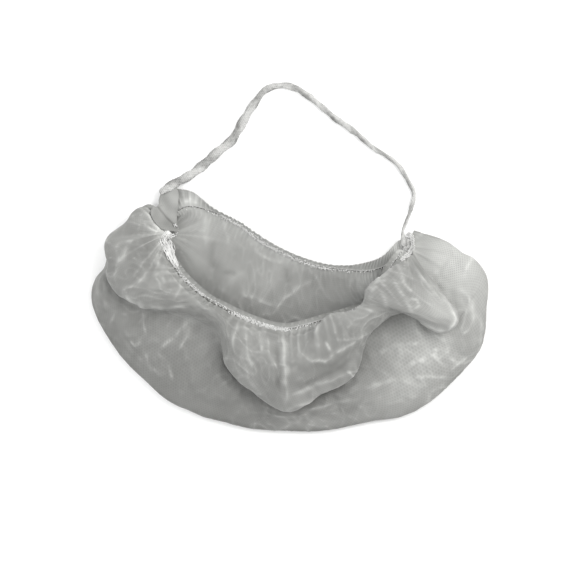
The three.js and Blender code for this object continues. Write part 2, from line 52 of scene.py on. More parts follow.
# The pouch, in millimetres, as the CAD part has it
net = dict(
    width=280.0, length=160.0, height=42.0, wall=1.1, edgeLift=6.0, edgeReach=9.0, edgeRise=6.0,
    backLift=4.0, headingLift=6.0, hemReach=3.2, cornerStack=5.0, backReach=11.0, lipRise=1.4,
    foldTuck=9.0, foldDrop=8.0, foldTurn=8.0, puffLean=6.0, outerSwell=5.0,
    steps=66, end=0.12, passes=6, relaxIn=0.5, relaxOut=0.42, settle=2.5, settleEnd=3.0,
    columns=220, rows=100, flat=(0.36, 0.24),
)
planNames = ("rimX", "rimY", "foldX", "foldY", "edgeX", "edgeY", "backX", "backY", "headX", "headY")
plan = [dict(zip(planNames, row)) for row in (
    (-0.3, 0.241, -0.32, 0.245, -0.324, 0.28, -0.295, 0.262, -0.297, 0.271),
    (-0.307, 0.218, -0.352, 0.34, -0.337, 0.355, -0.292, 0.289, -0.296, 0.306),
    (-0.302, 0.179, -0.415, 0.27, -0.4, 0.29, -0.287, 0.319, -0.297, 0.367),
    (-0.292, 0.136, -0.462, 0.15, -0.455, 0.16, -0.272, 0.35, -0.292, 0.424),
    (-0.275, 0.083, -0.435, 0.0, -0.497, -0.017, -0.24, 0.359, -0.24, 0.416),
    (-0.242, 0.022, -0.355, -0.079, -0.462, -0.192, -0.195, 0.346, -0.197, 0.363),
    (-0.202, -0.035, -0.275, -0.096, -0.38, -0.359, -0.155, 0.315, -0.158, 0.328),
    (-0.17, -0.066, -0.185, -0.157, -0.305, -0.486, -0.122, 0.284, -0.122, 0.296),
    (-0.122, -0.109, -0.16, -0.341, -0.21, -0.551, -0.087, 0.236, -0.084, 0.248),
    (-0.067, -0.144, -0.07, -0.477, -0.107, -0.604, -0.035, 0.179, -0.03, 0.191),
    (-0.01, -0.166, -0.002, -0.525, -0.015, -0.612, 0.02, 0.136, 0.024, 0.148),
    (0.047, -0.144, 0.08, -0.455, 0.1, -0.612, 0.075, 0.105, 0.078, 0.118),
    (0.097, -0.118, 0.162, -0.367, 0.22, -0.569, 0.127, 0.092, 0.13, 0.107),
    (0.147, -0.092, 0.2, -0.197, 0.32, -0.525, 0.17, 0.083, 0.175, 0.114),
    (0.185, -0.057, 0.275, -0.109, 0.415, -0.381, 0.2, 0.083, 0.205, 0.127),
    (0.212, -0.009, 0.365, -0.188, 0.48, -0.201, 0.225, 0.092, 0.23, 0.144),
    (0.232, 0.048, 0.415, -0.14, 0.495, -0.004, 0.245, 0.109, 0.252, 0.179),
    (0.25, 0.101, 0.395, -0.035, 0.462, 0.144, 0.262, 0.14, 0.265, 0.206),
    (0.27, 0.149, 0.342, 0.079, 0.39, 0.225, 0.277, 0.166, 0.28, 0.219),
    (0.285, 0.179, 0.3, 0.171, 0.31, 0.262, 0.287, 0.188, 0.287, 0.21),
)]
liftNames = ("rim", "puff", "fold", "lean", "tuck", "swell", "under", "stack")
lifts = [dict(zip(liftNames, row)) for row in (
    (0.25, 0.28, 0.22, 0, 0, 0, -0.2, 1), (0.27, 0.4, 0.3, 0, 0.3, 0, -0.25, 0.7),
    (0.31, 0.54, 0.38, 0, 0.6, 0.1, 0, 0.35), (0.38, 0.68, 0.44, 0.2, 0.5, 0.3, 0.5, 0),
    (0.46, 0.78, 0.48, 0.3, 0.5, 0.6, 0.9, 0), (0.52, 0.8, 0.5, 0.3, 0.5, 0.4, 1, 0),
    (0.57, 0.78, 0.54, 0.1, 0.6, 1, 1, 0), (0.6, 0.78, 0.56, 0, 0.5, 0.3, 1, 0),
    (0.6, 0.84, 0.52, 0, 0.9, 1, 1, 0), (0.6, 0.88, 0.46, 0, 0.9, 0.3, 1, 0),
    (0.6, 0.92, 0.42, 0, 0.9, 0.2, 1, 0), (0.58, 0.9, 0.44, 0.3, 0.9, 0.3, 1, 0),
    (0.56, 0.9, 0.5, 0.9, 1, 0.9, 1, 0), (0.53, 0.9, 0.54, 0.6, 0.9, 0.3, 1, 0),
    (0.49, 0.88, 0.56, 0.8, 0.9, 1.1, 1, 0), (0.43, 0.94, 0.56, 1.2, 0.6, 0.4, 0.9, 0),
    (0.37, 0.95, 0.52, 1, 0.5, 0.3, 0.7, 0), (0.3, 0.78, 0.44, 0.7, 0.7, 0.2, 0.4, 0),
    (0.24, 0.5, 0.32, 0.2, 0.6, 0, 0.2, 0.1), (0.2, 0.24, 0.19, 0, 0, 0, 0.1, 0.35),
)]
placeNames = (
    "lip", "rim", "hem", "rise", "lean", "crest", "brow", "fold", "tuckTop", "tuckFoot", "panel",
    "shoulder", "edge", "turn", "floorFront", "floorBack", "back", "head",
)
placeSteps = (1, 1, 1, 2, 2, 2, 2, 2, 1, 2, 2, 2, 2, 1, 2, 2, 2)
place = {name: index for index, name in enumerate(placeNames)}
lastSection = len(plan) - 1


def mix(low, high, share):
    return low + (high - low) * share


def smooth(value, low, high):
    t = np.clip((value - low) / (high - low), 0, 1)
    return t * t * (3 - 2 * t)


def bell(value, width):  # 1 at zero, falling off to both sides
    return np.exp(-((value / width) ** 2))


def atPixel(px, py):  # where a point of the frame lies, in millimetres
    half = camera["pixels"] / 2
    return (px - half) * camera["pixel"], (half - py) * camera["pixel"]


def splineAt(points, spots):  # centripetal Catmull-Rom along the first axis, spots counted in points
    padded = np.concatenate([[2 * points[0] - points[1]], points, [2 * points[-1] - points[-2]]])
    first = np.minimum(spots.astype(int), len(points) - 2)
    share = (spots - first).reshape(-1, *[1] * (points.ndim - 1))
    p0, p1, p2, p3 = (padded[first + k] for k in range(4))
    step = lambda a, b: np.sqrt(np.maximum(np.linalg.norm(b - a, axis=-1, keepdims=True), 1e-4))
    d0, d1, d2 = step(p0, p1), step(p1, p2), step(p2, p3)
    leave = ((p1 - p0) / d0 - (p2 - p0) / (d0 + d1) + (p2 - p1) / d1) * d1
    arrive = ((p2 - p1) / d1 - (p3 - p1) / (d1 + d2) + (p3 - p2) / d2) * d1
    square = -3 * p1 + 3 * p2 - 2 * leave - arrive
    cube = 2 * p1 - 2 * p2 + leave + arrive
    return p1 + share * (leave + share * (square + share * cube))


def splineThrough(points, steps):  # even steps from the first point to the last
    return splineAt(points, np.linspace(0, len(points) - 1, steps + 1))


def gridAt(grid, columnSpots, rowSpots):
    across = splineAt(grid, columnSpots)
    return splineAt(across.transpose(1, 0, 2), rowSpots).transpose(1, 0, 2)


def evenSpots(grid, count):  # spots along the first axis at even mean distances
    lengths = np.linalg.norm(np.diff(grid, axis=0), axis=-1)
    run = np.concatenate([[0], np.cumsum(lengths.reshape(len(lengths), -1).mean(1))])
    return np.interp(np.linspace(0, run[-1], count + 1), run, np.arange(len(run)))


def gridNormals(grid):
    across = np.gradient(grid, axis=0)
    along = np.gradient(grid, axis=1)
    normals = np.cross(across, along)
    return normals / np.maximum(np.linalg.norm(normals, axis=-1, keepdims=True), 1e-9)


def neighbourMean(grid):
    wide = np.concatenate([grid[:1], grid, grid[-1:]])
    long = np.concatenate([grid[:, :1], grid, grid[:, -1:]], axis=1)
    across = (wide[:-2] + wide[2:]) / 2
    middle = (across + (long[:, :-2] + long[:, 2:]) / 2) / 2
    middle[:, 0], middle[:, -1] = across[:, 0], across[:, -1]
    return middle


def upNormals(grid):  # turned to the side that faces up
    normals = gridNormals(grid)
    return normals * np.where(normals[..., 2:] < 0, -1.0, 1.0)


def unit(vectors):
    return vectors / np.linalg.norm(vectors, axis=-1, keepdims=True)


def runAlong(line):  # how far along its line each point lies
    return np.concatenate([[0], np.cumsum(np.linalg.norm(np.diff(line, axis=0), axis=1))])


def ease(line):  # evens out the inner points, in place
    line[1:-1] = (line[:-2] + line[1:-1] * 2 + line[2:]) / 4


def nearPixel(x, y, px, py, reach):  # 1 at the frame's pixel and less round it, the reach in pixels
    cx, cy = atPixel(px, py)
    return bell(np.hypot(x - cx, y - cy), reach * camera["pixel"])


def rotated(x, y, turn):
    return x * math.cos(turn) - y * math.sin(turn), x * math.sin(turn) + y * math.cos(turn)


def newObject(name, data):
    piece = bpy.data.objects.new(name, data)
    bpy.context.scene.collection.objects.link(piece)
    return piece


def meshFrom(bm, name):
    mesh = bpy.data.meshes.new(name)
    bm.to_mesh(mesh)
    bm.free()
    return mesh


def closeSeams(piece):
    bm = bmesh.new()
    bm.from_mesh(piece.data)
    bmesh.ops.remove_doubles(bm, verts=bm.verts, dist=1e-6)
    bmesh.ops.recalc_face_normals(bm, faces=bm.faces)
    bm.to_mesh(piece.data)
    bm.free()


def gridObject(name, grid, scale=mm):
    columns, rows = grid.shape[0] - 1, grid.shape[1] - 1
    bm = bmesh.new()
    bmesh.ops.create_grid(bm, x_segments=columns, y_segments=rows, size=1)
    mesh = meshFrom(bm, name)
    spots = np.empty(len(mesh.vertices) * 3)
    mesh.vertices.foreach_get("co", spots)
    spots = spots.reshape(-1, 3)
    i = np.rint((spots[:, 0] + 1) / 2 * columns).astype(int)
    j = np.rint((spots[:, 1] + 1) / 2 * rows).astype(int)
    mesh.vertices.foreach_set("co", (grid[i, j] * scale).ravel())
    mesh.update()
    return newObject(name, mesh), i, j


def gridUv(piece, u, v):  # u and v for each vertex
    layer = piece.data.uv_layers.new(name="weave")
    corners = np.empty(len(piece.data.loops), int)
    piece.data.loops.foreach_get("vertex_index", corners)
    layer.data.foreach_set("uv", np.stack([u[corners], v[corners]], 1).ravel())


def pointValues(piece, name, values):
    layer = piece.data.attributes.new(name, "FLOAT", "POINT")
    layer.data.foreach_set("value", values.astype(np.float32))


def finishPiece(piece, material, slot, *nodes, smoothFaces=True):
    piece.data.materials.append(material)
    if smoothFaces:
        piece.data.shade_smooth()
    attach(piece, "root")
    if nodes:
        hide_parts(*nodes)
    return piece


def threadPiece(name, lines, radius, sides=1):  # one mesh of round threads along open lines, in mm
    curve = bpy.data.curves.new(name + "Line", "CURVE")
    curve.dimensions = "3D"
    curve.bevel_depth = radius * mm
    curve.bevel_resolution = sides
    curve.use_fill_caps = True
    for line in lines:
        spline = curve.splines.new("POLY")
        spline.points.add(len(line) - 1)
        line = np.maximum(line, (-1e3, -1e3, radius))  # no thread sinks into the floor
        flat = np.concatenate([line * mm, np.ones((len(line), 1))], axis=1)
        spline.points.foreach_set("co", flat.ravel())
    holder = newObject(name + "Holder", curve)
    bpy.context.view_layer.update()
    mesh = bpy.data.meshes.new_from_object(holder.evaluated_get(bpy.context.evaluated_depsgraph_get()))
    mesh.name = name
    bpy.data.objects.remove(holder)
    bpy.data.curves.remove(curve)
    return newObject(name, mesh)


def tubePiece(name, points, halfWidths, halfHeights, sides, section):  # a closed tube, in mm
    along = unit(np.gradient(points, axis=0))
    sideways = unit(np.cross((0, 0, 1), along))
    up = np.cross(along, sideways)
    angles = np.linspace(0, 2 * math.pi, sides + 1)
    shape = np.stack([section(index, angles) for index in range(len(points))])
    grid = points[:, None] + shape[..., :1] * halfWidths[:, None, None] * sideways[:, None]
    grid = grid + shape[..., 1:] * halfHeights[:, None, None] * up[:, None]
    grid[0], grid[-1] = points[0], points[-1]
    piece, i, j = gridObject(name, grid)
    gridUv(piece, runAlong(points)[i] * mm, j / sides)
    closeSeams(piece)
    return piece


# Materials


def feed(tree, node, values):  # gives each named input a value or another node's output
    for name, value in values.items():
        if isinstance(value, bpy.types.NodeSocket):
            tree.links.new(value, node.inputs[name])
        else:
            node.inputs[name].default_value = value


def addNode(tree, kind, values, out=0, **settings):
    node = tree.nodes.new("ShaderNode" + kind)
    for name, setting in settings.items():
        setattr(node, name, setting)
    feed(tree, node, values)
    return node.outputs[out]


def mathNode(tree, operation, *values, clamp=False):
    return addNode(tree, "Math", dict(enumerate(values)), operation=operation, use_clamp=clamp)


def vectorNode(tree, operation, *values, out="Vector"):
    return addNode(tree, "VectorMath", dict(enumerate(values)), out, operation=operation)


def noiseNode(tree, at, scale, detail=2.0, roughness=0.5):
    values = {"Vector": at, "Scale": scale, "Detail": detail, "Roughness": roughness}
    return addNode(tree, "TexNoise", values, "Fac")


def attributeNode(tree, name):
    return addNode(tree, "Attribute", {}, "Fac", attribute_name=name)


def hexagonWeave():  # a six-sided mesh of threads: 1 on a thread, 0 in the middle of a hole
    group = bpy.data.node_groups.new("hexagonWeave", "ShaderNodeTree")
    for name, kind in (("Vector", "Vector"), ("Pitch", "Float"), ("Thread", "Float")):
        group.interface.new_socket(name, in_out="INPUT", socket_type="NodeSocket" + kind)
    group.interface.new_socket("Mask", in_out="OUTPUT", socket_type="NodeSocketFloat")
    enter, leave = group.nodes.new("NodeGroupInput"), group.nodes.new("NodeGroupOutput")
    scale = mathNode(group, "DIVIDE", 1.0, enter.outputs["Pitch"])
    scaled = addNode(group, "VectorMath", {0: enter.outputs["Vector"], "Scale": scale}, operation="SCALE")
    root = math.sqrt(3)
    nearest = []
    for shift in (0.0, 0.5):
        cell = scaled
        for operation, *values in (
            ("DIVIDE", (1.0, root, 1.0)), ("ADD", (shift, shift, 0.0)), ("FRACTION",),
            ("SUBTRACT", (0.5, 0.5, 0.0)), ("MULTIPLY", (1.0, root, 0.0)), ("ABSOLUTE",),
        ):
            cell = vectorNode(group, operation, cell, *values)
        slanted = vectorNode(group, "DOT_PRODUCT", cell, (0.5, root / 2, 0.0), out="Value")
        nearest.append(mathNode(group, "MAXIMUM", addNode(group, "SeparateXYZ", {0: cell}), slanted))
    toThread = mathNode(group, "SUBTRACT", 0.5, mathNode(group, "MINIMUM", *nearest))
    share = mathNode(group, "DIVIDE", toThread, enter.outputs["Thread"])
    feed(group, leave, {"Mask": mathNode(group, "SUBTRACT", 1.0, share, clamp=True)})
    return group


weaveGroup = hexagonWeave()


def weaveNode(tree, at, finish):
    values = {"Vector": at, "Pitch": finish["pitch"], "Thread": finish["thread"]}
    return addNode(tree, "Group", values, "Mask", node_tree=weaveGroup)


def newMaterial(name, finish, spots="Object", specular=0.35):
    material = bpy.data.materials.new(name)
    material.use_nodes = True
    tree = material.node_tree
    shader = tree.nodes["Principled BSDF"]
    feed(tree, shader, {
        "Roughness": finish["roughness"], "Sheen Weight": finish["sheen"], "Sheen Roughness": 0.45,
        "Specular IOR Level": specular,
    })
    return material, tree, shader, tree.nodes.new("ShaderNodeTexCoord").outputs[spots]


def dress(tree, shader, finish, tone, height):  # the colour from shade to pale, and the relief
    colors = {"Factor": tone, 6: (*finish["shade"], 1.0), 7: (*finish["pale"], 1.0)}
    relief = {"Strength": finish["bump"], "Distance": finish["depth"], "Height": height}
    feed(tree, shader, {
        "Base Color": addNode(tree, "Mix", colors, 2, data_type="RGBA"),
        "Normal": addNode(tree, "Bump", relief, "Normal"),
    })


# The netting is white: its grey tones here are painted shade
nettingFinish = dict(
    shade=(0.14, 0.141, 0.134), pale=(0.68, 0.685, 0.662), roughness=0.7, sheen=0.2, base=0.104,
    pitch=0.0016, thread=0.34, weaveTone=0.03, cloudScale=55.0, cloudTone=0.16, fibreScale=900.0,
    fibreHeight=0.6, holeAlpha=0.45, threadAlpha=0.92, denseAlpha=0.965, bump=0.2, depth=0.0002,
)


def nettingMaterial(finish):
    material, tree, shader, flat = newMaterial("netting", finish, "UV")
    weave = weaveNode(tree, flat, finish)
    cloudy = noiseNode(tree, flat, finish["cloudScale"], 3.0)
    fibres = noiseNode(tree, flat, finish["fibreScale"])
    pale, dense = attributeNode(tree, "pale"), attributeNode(tree, "dense")
    clouds, threads = finish["cloudTone"], finish["weaveTone"]
    mottled = mathNode(tree, "MULTIPLY_ADD", cloudy, clouds, finish["base"] - clouds / 2)
    lit = mathNode(tree, "MULTIPLY_ADD", weave, threads, -threads / 2)
    tone = mathNode(tree, "ADD", mathNode(tree, "ADD", pale, mottled), lit, clamp=True)
    closing = finish["threadAlpha"] - finish["holeAlpha"]
    covered = mathNode(tree, "MULTIPLY_ADD", weave, closing, finish["holeAlpha"])
    rest = mathNode(tree, "SUBTRACT", finish["denseAlpha"], covered)
    feed(tree, shader, {"Alpha": mathNode(tree, "MULTIPLY_ADD", rest, dense, covered, clamp=True)})
    dress(tree, shader, finish, tone, mathNode(tree, "MULTIPLY_ADD", fibres, finish["fibreHeight"], weave))
    return material


threadFinish = dict(
    shade=(0.42, 0.42, 0.412), pale=(0.82, 0.82, 0.805), roughness=0.55, sheen=0.3,
    toneScale=160.0, tone=0.9, least=0.1, twistScale=1400.0, bump=0.5, depth=0.0002,
)


def threadMaterial(finish):
    material, tree, shader, at = newMaterial("whiteThread", finish)
    tone = noiseNode(tree, at, finish["toneScale"])
    mixed = mathNode(tree, "MULTIPLY_ADD", tone, finish["tone"], finish["least"], clamp=True)
    dress(tree, shader, finish, mixed, noiseNode(tree, at, finish["twistScale"]))
    return material


# The rolled strap is white netting too: its grey tones are painted shade
rolledFinish = dict(
    shade=(0.14, 0.14, 0.135), pale=(0.55, 0.55, 0.537), roughness=0.65, sheen=0.2,
    pitch=0.0014, thread=0.5, weaveTone=0.2, clumpScale=420.0, clumpTone=1.2, clumpHeight=0.8,
    broadScale=90.0, broadTone=0.4, least=-0.72, paleTone=0.9, bump=0.9, depth=0.0006,
)
packedFinish = dict(rolledFinish, shade=(0.2, 0.2, 0.194), pale=(0.9, 0.9, 0.885))


def rolledMaterial(name, finish):  # several layers of netting, so nothing shows through
    material, tree, shader, at = newMaterial(name, finish)
    weave = weaveNode(tree, at, finish)
    clumps = noiseNode(tree, at, finish["clumpScale"], 3.0, 0.65)
    broad = noiseNode(tree, at, finish["broadScale"])
    tone = mathNode(tree, "MULTIPLY_ADD", clumps, finish["clumpTone"], finish["least"])
    tone = mathNode(tree, "MULTIPLY_ADD", broad, finish["broadTone"], tone)
    tone = mathNode(tree, "MULTIPLY_ADD", attributeNode(tree, "pale"), finish["paleTone"], tone)
    tone = mathNode(tree, "MULTIPLY_ADD", weave, finish["weaveTone"], tone, clamp=True)
    dress(tree, shader, finish, tone, mathNode(tree, "MULTIPLY_ADD", clumps, finish["clumpHeight"], weave))
    return material


# The elastic is drawn darker than the threads round it: painted shade along each hem
elasticShadeFinish = dict(
    shade=(0.16, 0.16, 0.155), pale=(0.5, 0.5, 0.49), roughness=0.5, sheen=0.1,
    wrapScale=700.0, bump=0.6, depth=0.0003,
)


def elasticShadeMaterial(finish):
    material, tree, shader, at = newMaterial("elasticPaintedShade", finish)
    wraps = noiseNode(tree, at, finish["wrapScale"])
    dress(tree, shader, finish, wraps, wraps)
    return material


# Dark dashes for the needle holes: painted shade in the holes
holeShadeFinish = dict(color=(0.1, 0.099, 0.092), roughness=0.9, sheen=0.0, specular=0.1)


def holeShadeMaterial(finish):
    material, tree, shader, _ = newMaterial("paintedHoleShade", finish, specular=finish["specular"])
    feed(tree, shader, {"Base Color": (*finish["color"], 1)})
    return material


netting = nettingMaterial(nettingFinish)
whiteThread = threadMaterial(threadFinish)
rolledNetting = rolledMaterial("rolledNetting", rolledFinish)
packedNetting = rolledMaterial("packedNetting", packedFinish)
elasticPaintedShade = elasticShadeMaterial(elasticShadeFinish)
paintedHoleShade = holeShadeMaterial(holeShadeFinish)
print("materials ready")


def sewn(name, lines, radius, slot="gathered_thread"):
    return finishPiece(threadPiece(name, lines, radius), whiteThread, slot)


# The pouch: one sheet of netting, first as the CAD part lays it


def outline(name):
    return [Vector((row[name + "X"] * net["width"], row[name + "Y"] * net["length"], 0)) for row in plan]


outlines = {name: outline(name) for name in ("rim", "fold", "edge", "back", "head")}


def leftOf(points, index):
    before, after = points[max(index - 1, 0)], points[min(index + 1, len(points) - 1)]
    return Vector((before.y - after.y, after.x - before.x, 0)).normalized()


def moved(point, way, distance, height):
    return Vector((point.x + way.x * distance, point.y + way.y * distance, height))


def towards(start, end, distance, height):
    return moved(start, Vector((end.x - start.x, end.y - start.y, 0)).normalized(), distance, height)


def sectionPoints(index):
    lift = lifts[index]
    high, reach = net["height"], net["hemReach"]
    stack = net["cornerStack"] * lift["stack"]
    rim, fold, edge, back, head = (outlines[name][index].copy() for name in outlines)
    rim.z, fold.z = lift["rim"] * high, lift["fold"] * high
    edge.z, back.z = net["edgeLift"] + stack / 4, net["backLift"] + stack / 2
    head.z = net["headingLift"] + stack / 2
    puffRun, floorRun = (fold - rim).xy.length, (edge - back).xy.length
    floor = net["wall"] / 2 + stack
    spread = float(smooth(floorRun, net["foldTurn"], net["foldTurn"] * 3))
    puffHeight = lambda share: mix(rim.z, lift["puff"] * high, share)
    fromFold, fromEdge = leftOf(outlines["fold"], index), leftOf(outlines["edge"], index)
    openFold = fold.lerp(edge, 0.3)

    def tucked(part, drop):
        target = moved(fold, fromFold, net["foldTuck"] * part, fold.z - net["foldDrop"] * drop)
        return openFold + (target - openFold) * lift["tuck"]

    tuckTop, tuckFoot = tucked(1, 0.4), tucked(0.85, 1.05)
    outerRun = (tuckFoot - edge).xy.length
    shoulder = moved(edge, fromEdge, min(net["edgeReach"], outerRun / 3), 0)
    shoulder.z = min(edge.z + net["edgeRise"] * spread, mix(edge.z, tuckFoot.z, 0.8))
    panel = tuckFoot.lerp(shoulder, 0.5)
    panel.z += net["outerSwell"] * lift["swell"]
    turn = moved(edge, fromEdge, min(net["foldTurn"], floorRun / 4), floor)
    floorBack = moved(back, leftOf(outlines["back"], index), -net["backReach"] * lift["under"], floor)
    return [
        towards(rim, fold, -reach, rim.z + net["lipRise"]),
        rim,
        towards(rim, fold, min(reach, puffRun / 8), rim.z),
        towards(rim, fold, min(reach * 1.5, puffRun / 5), puffHeight(0.3)),
        towards(rim, fold, mix(puffRun / 3.5, -net["puffLean"], lift["lean"]), puffHeight(0.66)),
        towards(rim, fold, 0.45 * puffRun, puffHeight(1)),
        moved(fold, fromFold, min(net["foldTuck"], puffRun / 4) * 0.6, mix(fold.z, lift["puff"] * high, 0.6)),
        fold, tuckTop, tuckFoot, panel, shoulder, edge, turn,
        turn.lerp(floorBack, 0.45), floorBack, back, head,
    ]


def laidNet():
    sections = np.linspace(net["end"], lastSection - net["end"], net["steps"] + 1)
    spots = [[0]] + [index + np.arange(1, steps + 1) / steps for index, steps in enumerate(placeSteps)]
    spots = np.concatenate(spots)
    rows = np.array([[tuple(point) for point in sectionPoints(index)] for index in range(len(plan))])
    grid = gridAt(rows, sections, spots)
    floor = net["wall"] / 2
    grid[..., 2] = np.maximum(grid[..., 2], floor)
    for _ in range(net["passes"]):
        for share in (net["relaxIn"], -net["relaxOut"]):
            grid = grid + (neighbourMean(grid) - grid) * share
            grid[..., 2] = np.maximum(grid[..., 2], floor)
    inside = (sections > net["settleEnd"]) & (sections < lastSection - net["settleEnd"])
    bottom = (spots >= place["turn"]) & (spots <= place["floorBack"])
    settled = inside[:, None] & bottom[None] & (grid[..., 2] < floor + net["settle"])
    grid[..., 2] = np.where(settled, floor, grid[..., 2])
    columnSpots = evenSpots(grid, net["columns"])
    rowSpots = evenSpots(grid.transpose(1, 0, 2), net["rows"])
    sections = np.interp(columnSpots, np.arange(len(sections)), sections)
    spots = np.interp(rowSpots, np.arange(len(spots)), spots)
    return gridAt(grid, columnSpots, rowSpots), sections, spots


# Small tugs at the outline: the frame's pixel, how far it moves there in pixels, and the reach of the pull
tugs = (
    (105, 340, 1, 0, 30), (165, 400, 0, 1, 30), (215, 422, 1, 1, 35), (262, 430, 0, 1, 35),
    (117, 330, -1, 2, 30), (96, 290, -2, 0, 35), (128, 368, -2, 2, 25), (310, 432, 0, 2, 35),
    (370, 424, 0, 0.5, 30), (405, 416, 0, 1, 25), (445, 392, 1, 1, 30), (468, 362, 2, 1, 25),
    (205, 418, -3, 1, 14), (392, 420, 3, 1, 14), (480, 342, 4, 2, 25), (484, 276, 4, 0, 20),
    (421, 236, -6, -2, 9), (462, 251, 0, 3, 10), (128, 212, -4, -7, 20), (109, 238, -5, -4, 16),
    (146, 207, 0, -5, 12), (101, 264, 3, 2, 12), (190, 190, 0, -3, 14), (172, 192, -3, -4, 8),
)


def tugged(grid):
    pull = np.zeros_like(grid)
    for px, py, right, down, reach in tugs:
        near = nearPixel(grid[..., 0], grid[..., 1], px, py, reach)
        pull[..., 0] += right * camera["pixel"] * near
        pull[..., 1] -= down * camera["pixel"] * near
    return grid + pull


laidGrid, sections, spots = laidNet()
clothGrid = tugged(laidGrid)
print("net laid out", clothGrid.shape)

# The netting is cut larger than it lies, so it buckles between the hems that hold it
crumple = dict(
    scale=10.0, frames=16, quality=6, grow=-0.06, mass=0.12, stiff=12.0, bend=0.12, air=3.0, gravity=0.3,
    hold=0.16, flatHold=0.75, edgeHold=0.5, hemHold=1.4, ends=(0.6, 1.6), pin=6.0, gap=0.002, ground=4,
    cap=3.5,
)


def nearPlace(name, reach):
    return np.clip(1 - np.abs(spots - place[name]) / reach, 0, 1)


def crumpled(grid):
    scale = crumple["scale"] * mm
    sheet, i, j = gridObject("settlingNet", grid, scale)
    flat = crumple["flatHold"] * smooth(spots, place["edge"], place["floorFront"])
    border = crumple["edgeHold"] * nearPlace("edge", 1.6)
    hems = np.maximum(nearPlace("rim", 1.4), nearPlace("back", 0.9)) * crumple["hemHold"]
    held = np.maximum.reduce([hems, flat, border])[None] * np.ones((len(sections), 1))
    near, far = crumple["ends"]
    ends = np.maximum(smooth(sections, far, near), smooth(sections, lastSection - far, lastSection - near))
    held = np.clip(np.maximum(np.maximum(held, ends[:, None]), crumple["hold"]), 0, 1)
    group = sheet.vertex_groups.new(name="hold")
    for index, weight in enumerate(held[i, j]):
        group.add([index], float(weight), "REPLACE")
    modifier = sheet.modifiers.new("Cloth", "CLOTH")
    settings = modifier.settings
    settings.quality = crumple["quality"]
    settings.mass = crumple["mass"]
    settings.tension_stiffness = settings.compression_stiffness = crumple["stiff"]
    settings.shear_stiffness = crumple["stiff"] / 2
    settings.bending_stiffness = crumple["bend"]
    settings.air_damping = crumple["air"]
    settings.shrink_min = crumple["grow"]
    settings.vertex_group_mass = "hold"
    settings.pin_stiffness = crumple["pin"]
    settings.effector_weights.gravity = crumple["gravity"]
    modifier.collision_settings.use_self_collision = False
    modifier.collision_settings.distance_min = crumple["gap"]
    modifier.point_cache.frame_end = crumple["frames"]
    bm = bmesh.new()
    bmesh.ops.create_grid(bm, x_segments=1, y_segments=1, size=crumple["ground"])
    ground = newObject("settlingFloor", meshFrom(bm, "settlingFloor"))
    ground.modifiers.new("Collision", "COLLISION")
    ground.collision.thickness_outer = crumple["gap"]
    for step in range(1, crumple["frames"] + 1):
        bpy.context.scene.frame_set(step)
    mesh = sheet.evaluated_get(bpy.context.evaluated_depsgraph_get()).to_mesh()
    ended = np.empty(len(mesh.vertices) * 3)
    mesh.vertices.foreach_get("co", ended)
    result = grid.copy()
    result[i, j] = ended.reshape(-1, 3) / scale
    bpy.context.scene.frame_set(1)
    bpy.data.objects.remove(sheet)
    bpy.data.objects.remove(ground)
    shift = result - grid
    ease(shift)
    ease(shift.swapaxes(0, 1))
    length = np.linalg.norm(shift, axis=-1, keepdims=True)
    print("netting moved", round(float(length.mean()), 2), "mean,", round(float(length.max()), 2), "mm most")
    shift *= np.tanh(length / crumple["cap"]) * crumple["cap"] / np.maximum(length, 1e-6)
    return grid + shift


clothGrid = crumpled(clothGrid)
clothGrid[..., 2] = np.maximum(clothGrid[..., 2], net["wall"] / 4)
print("netting settled")
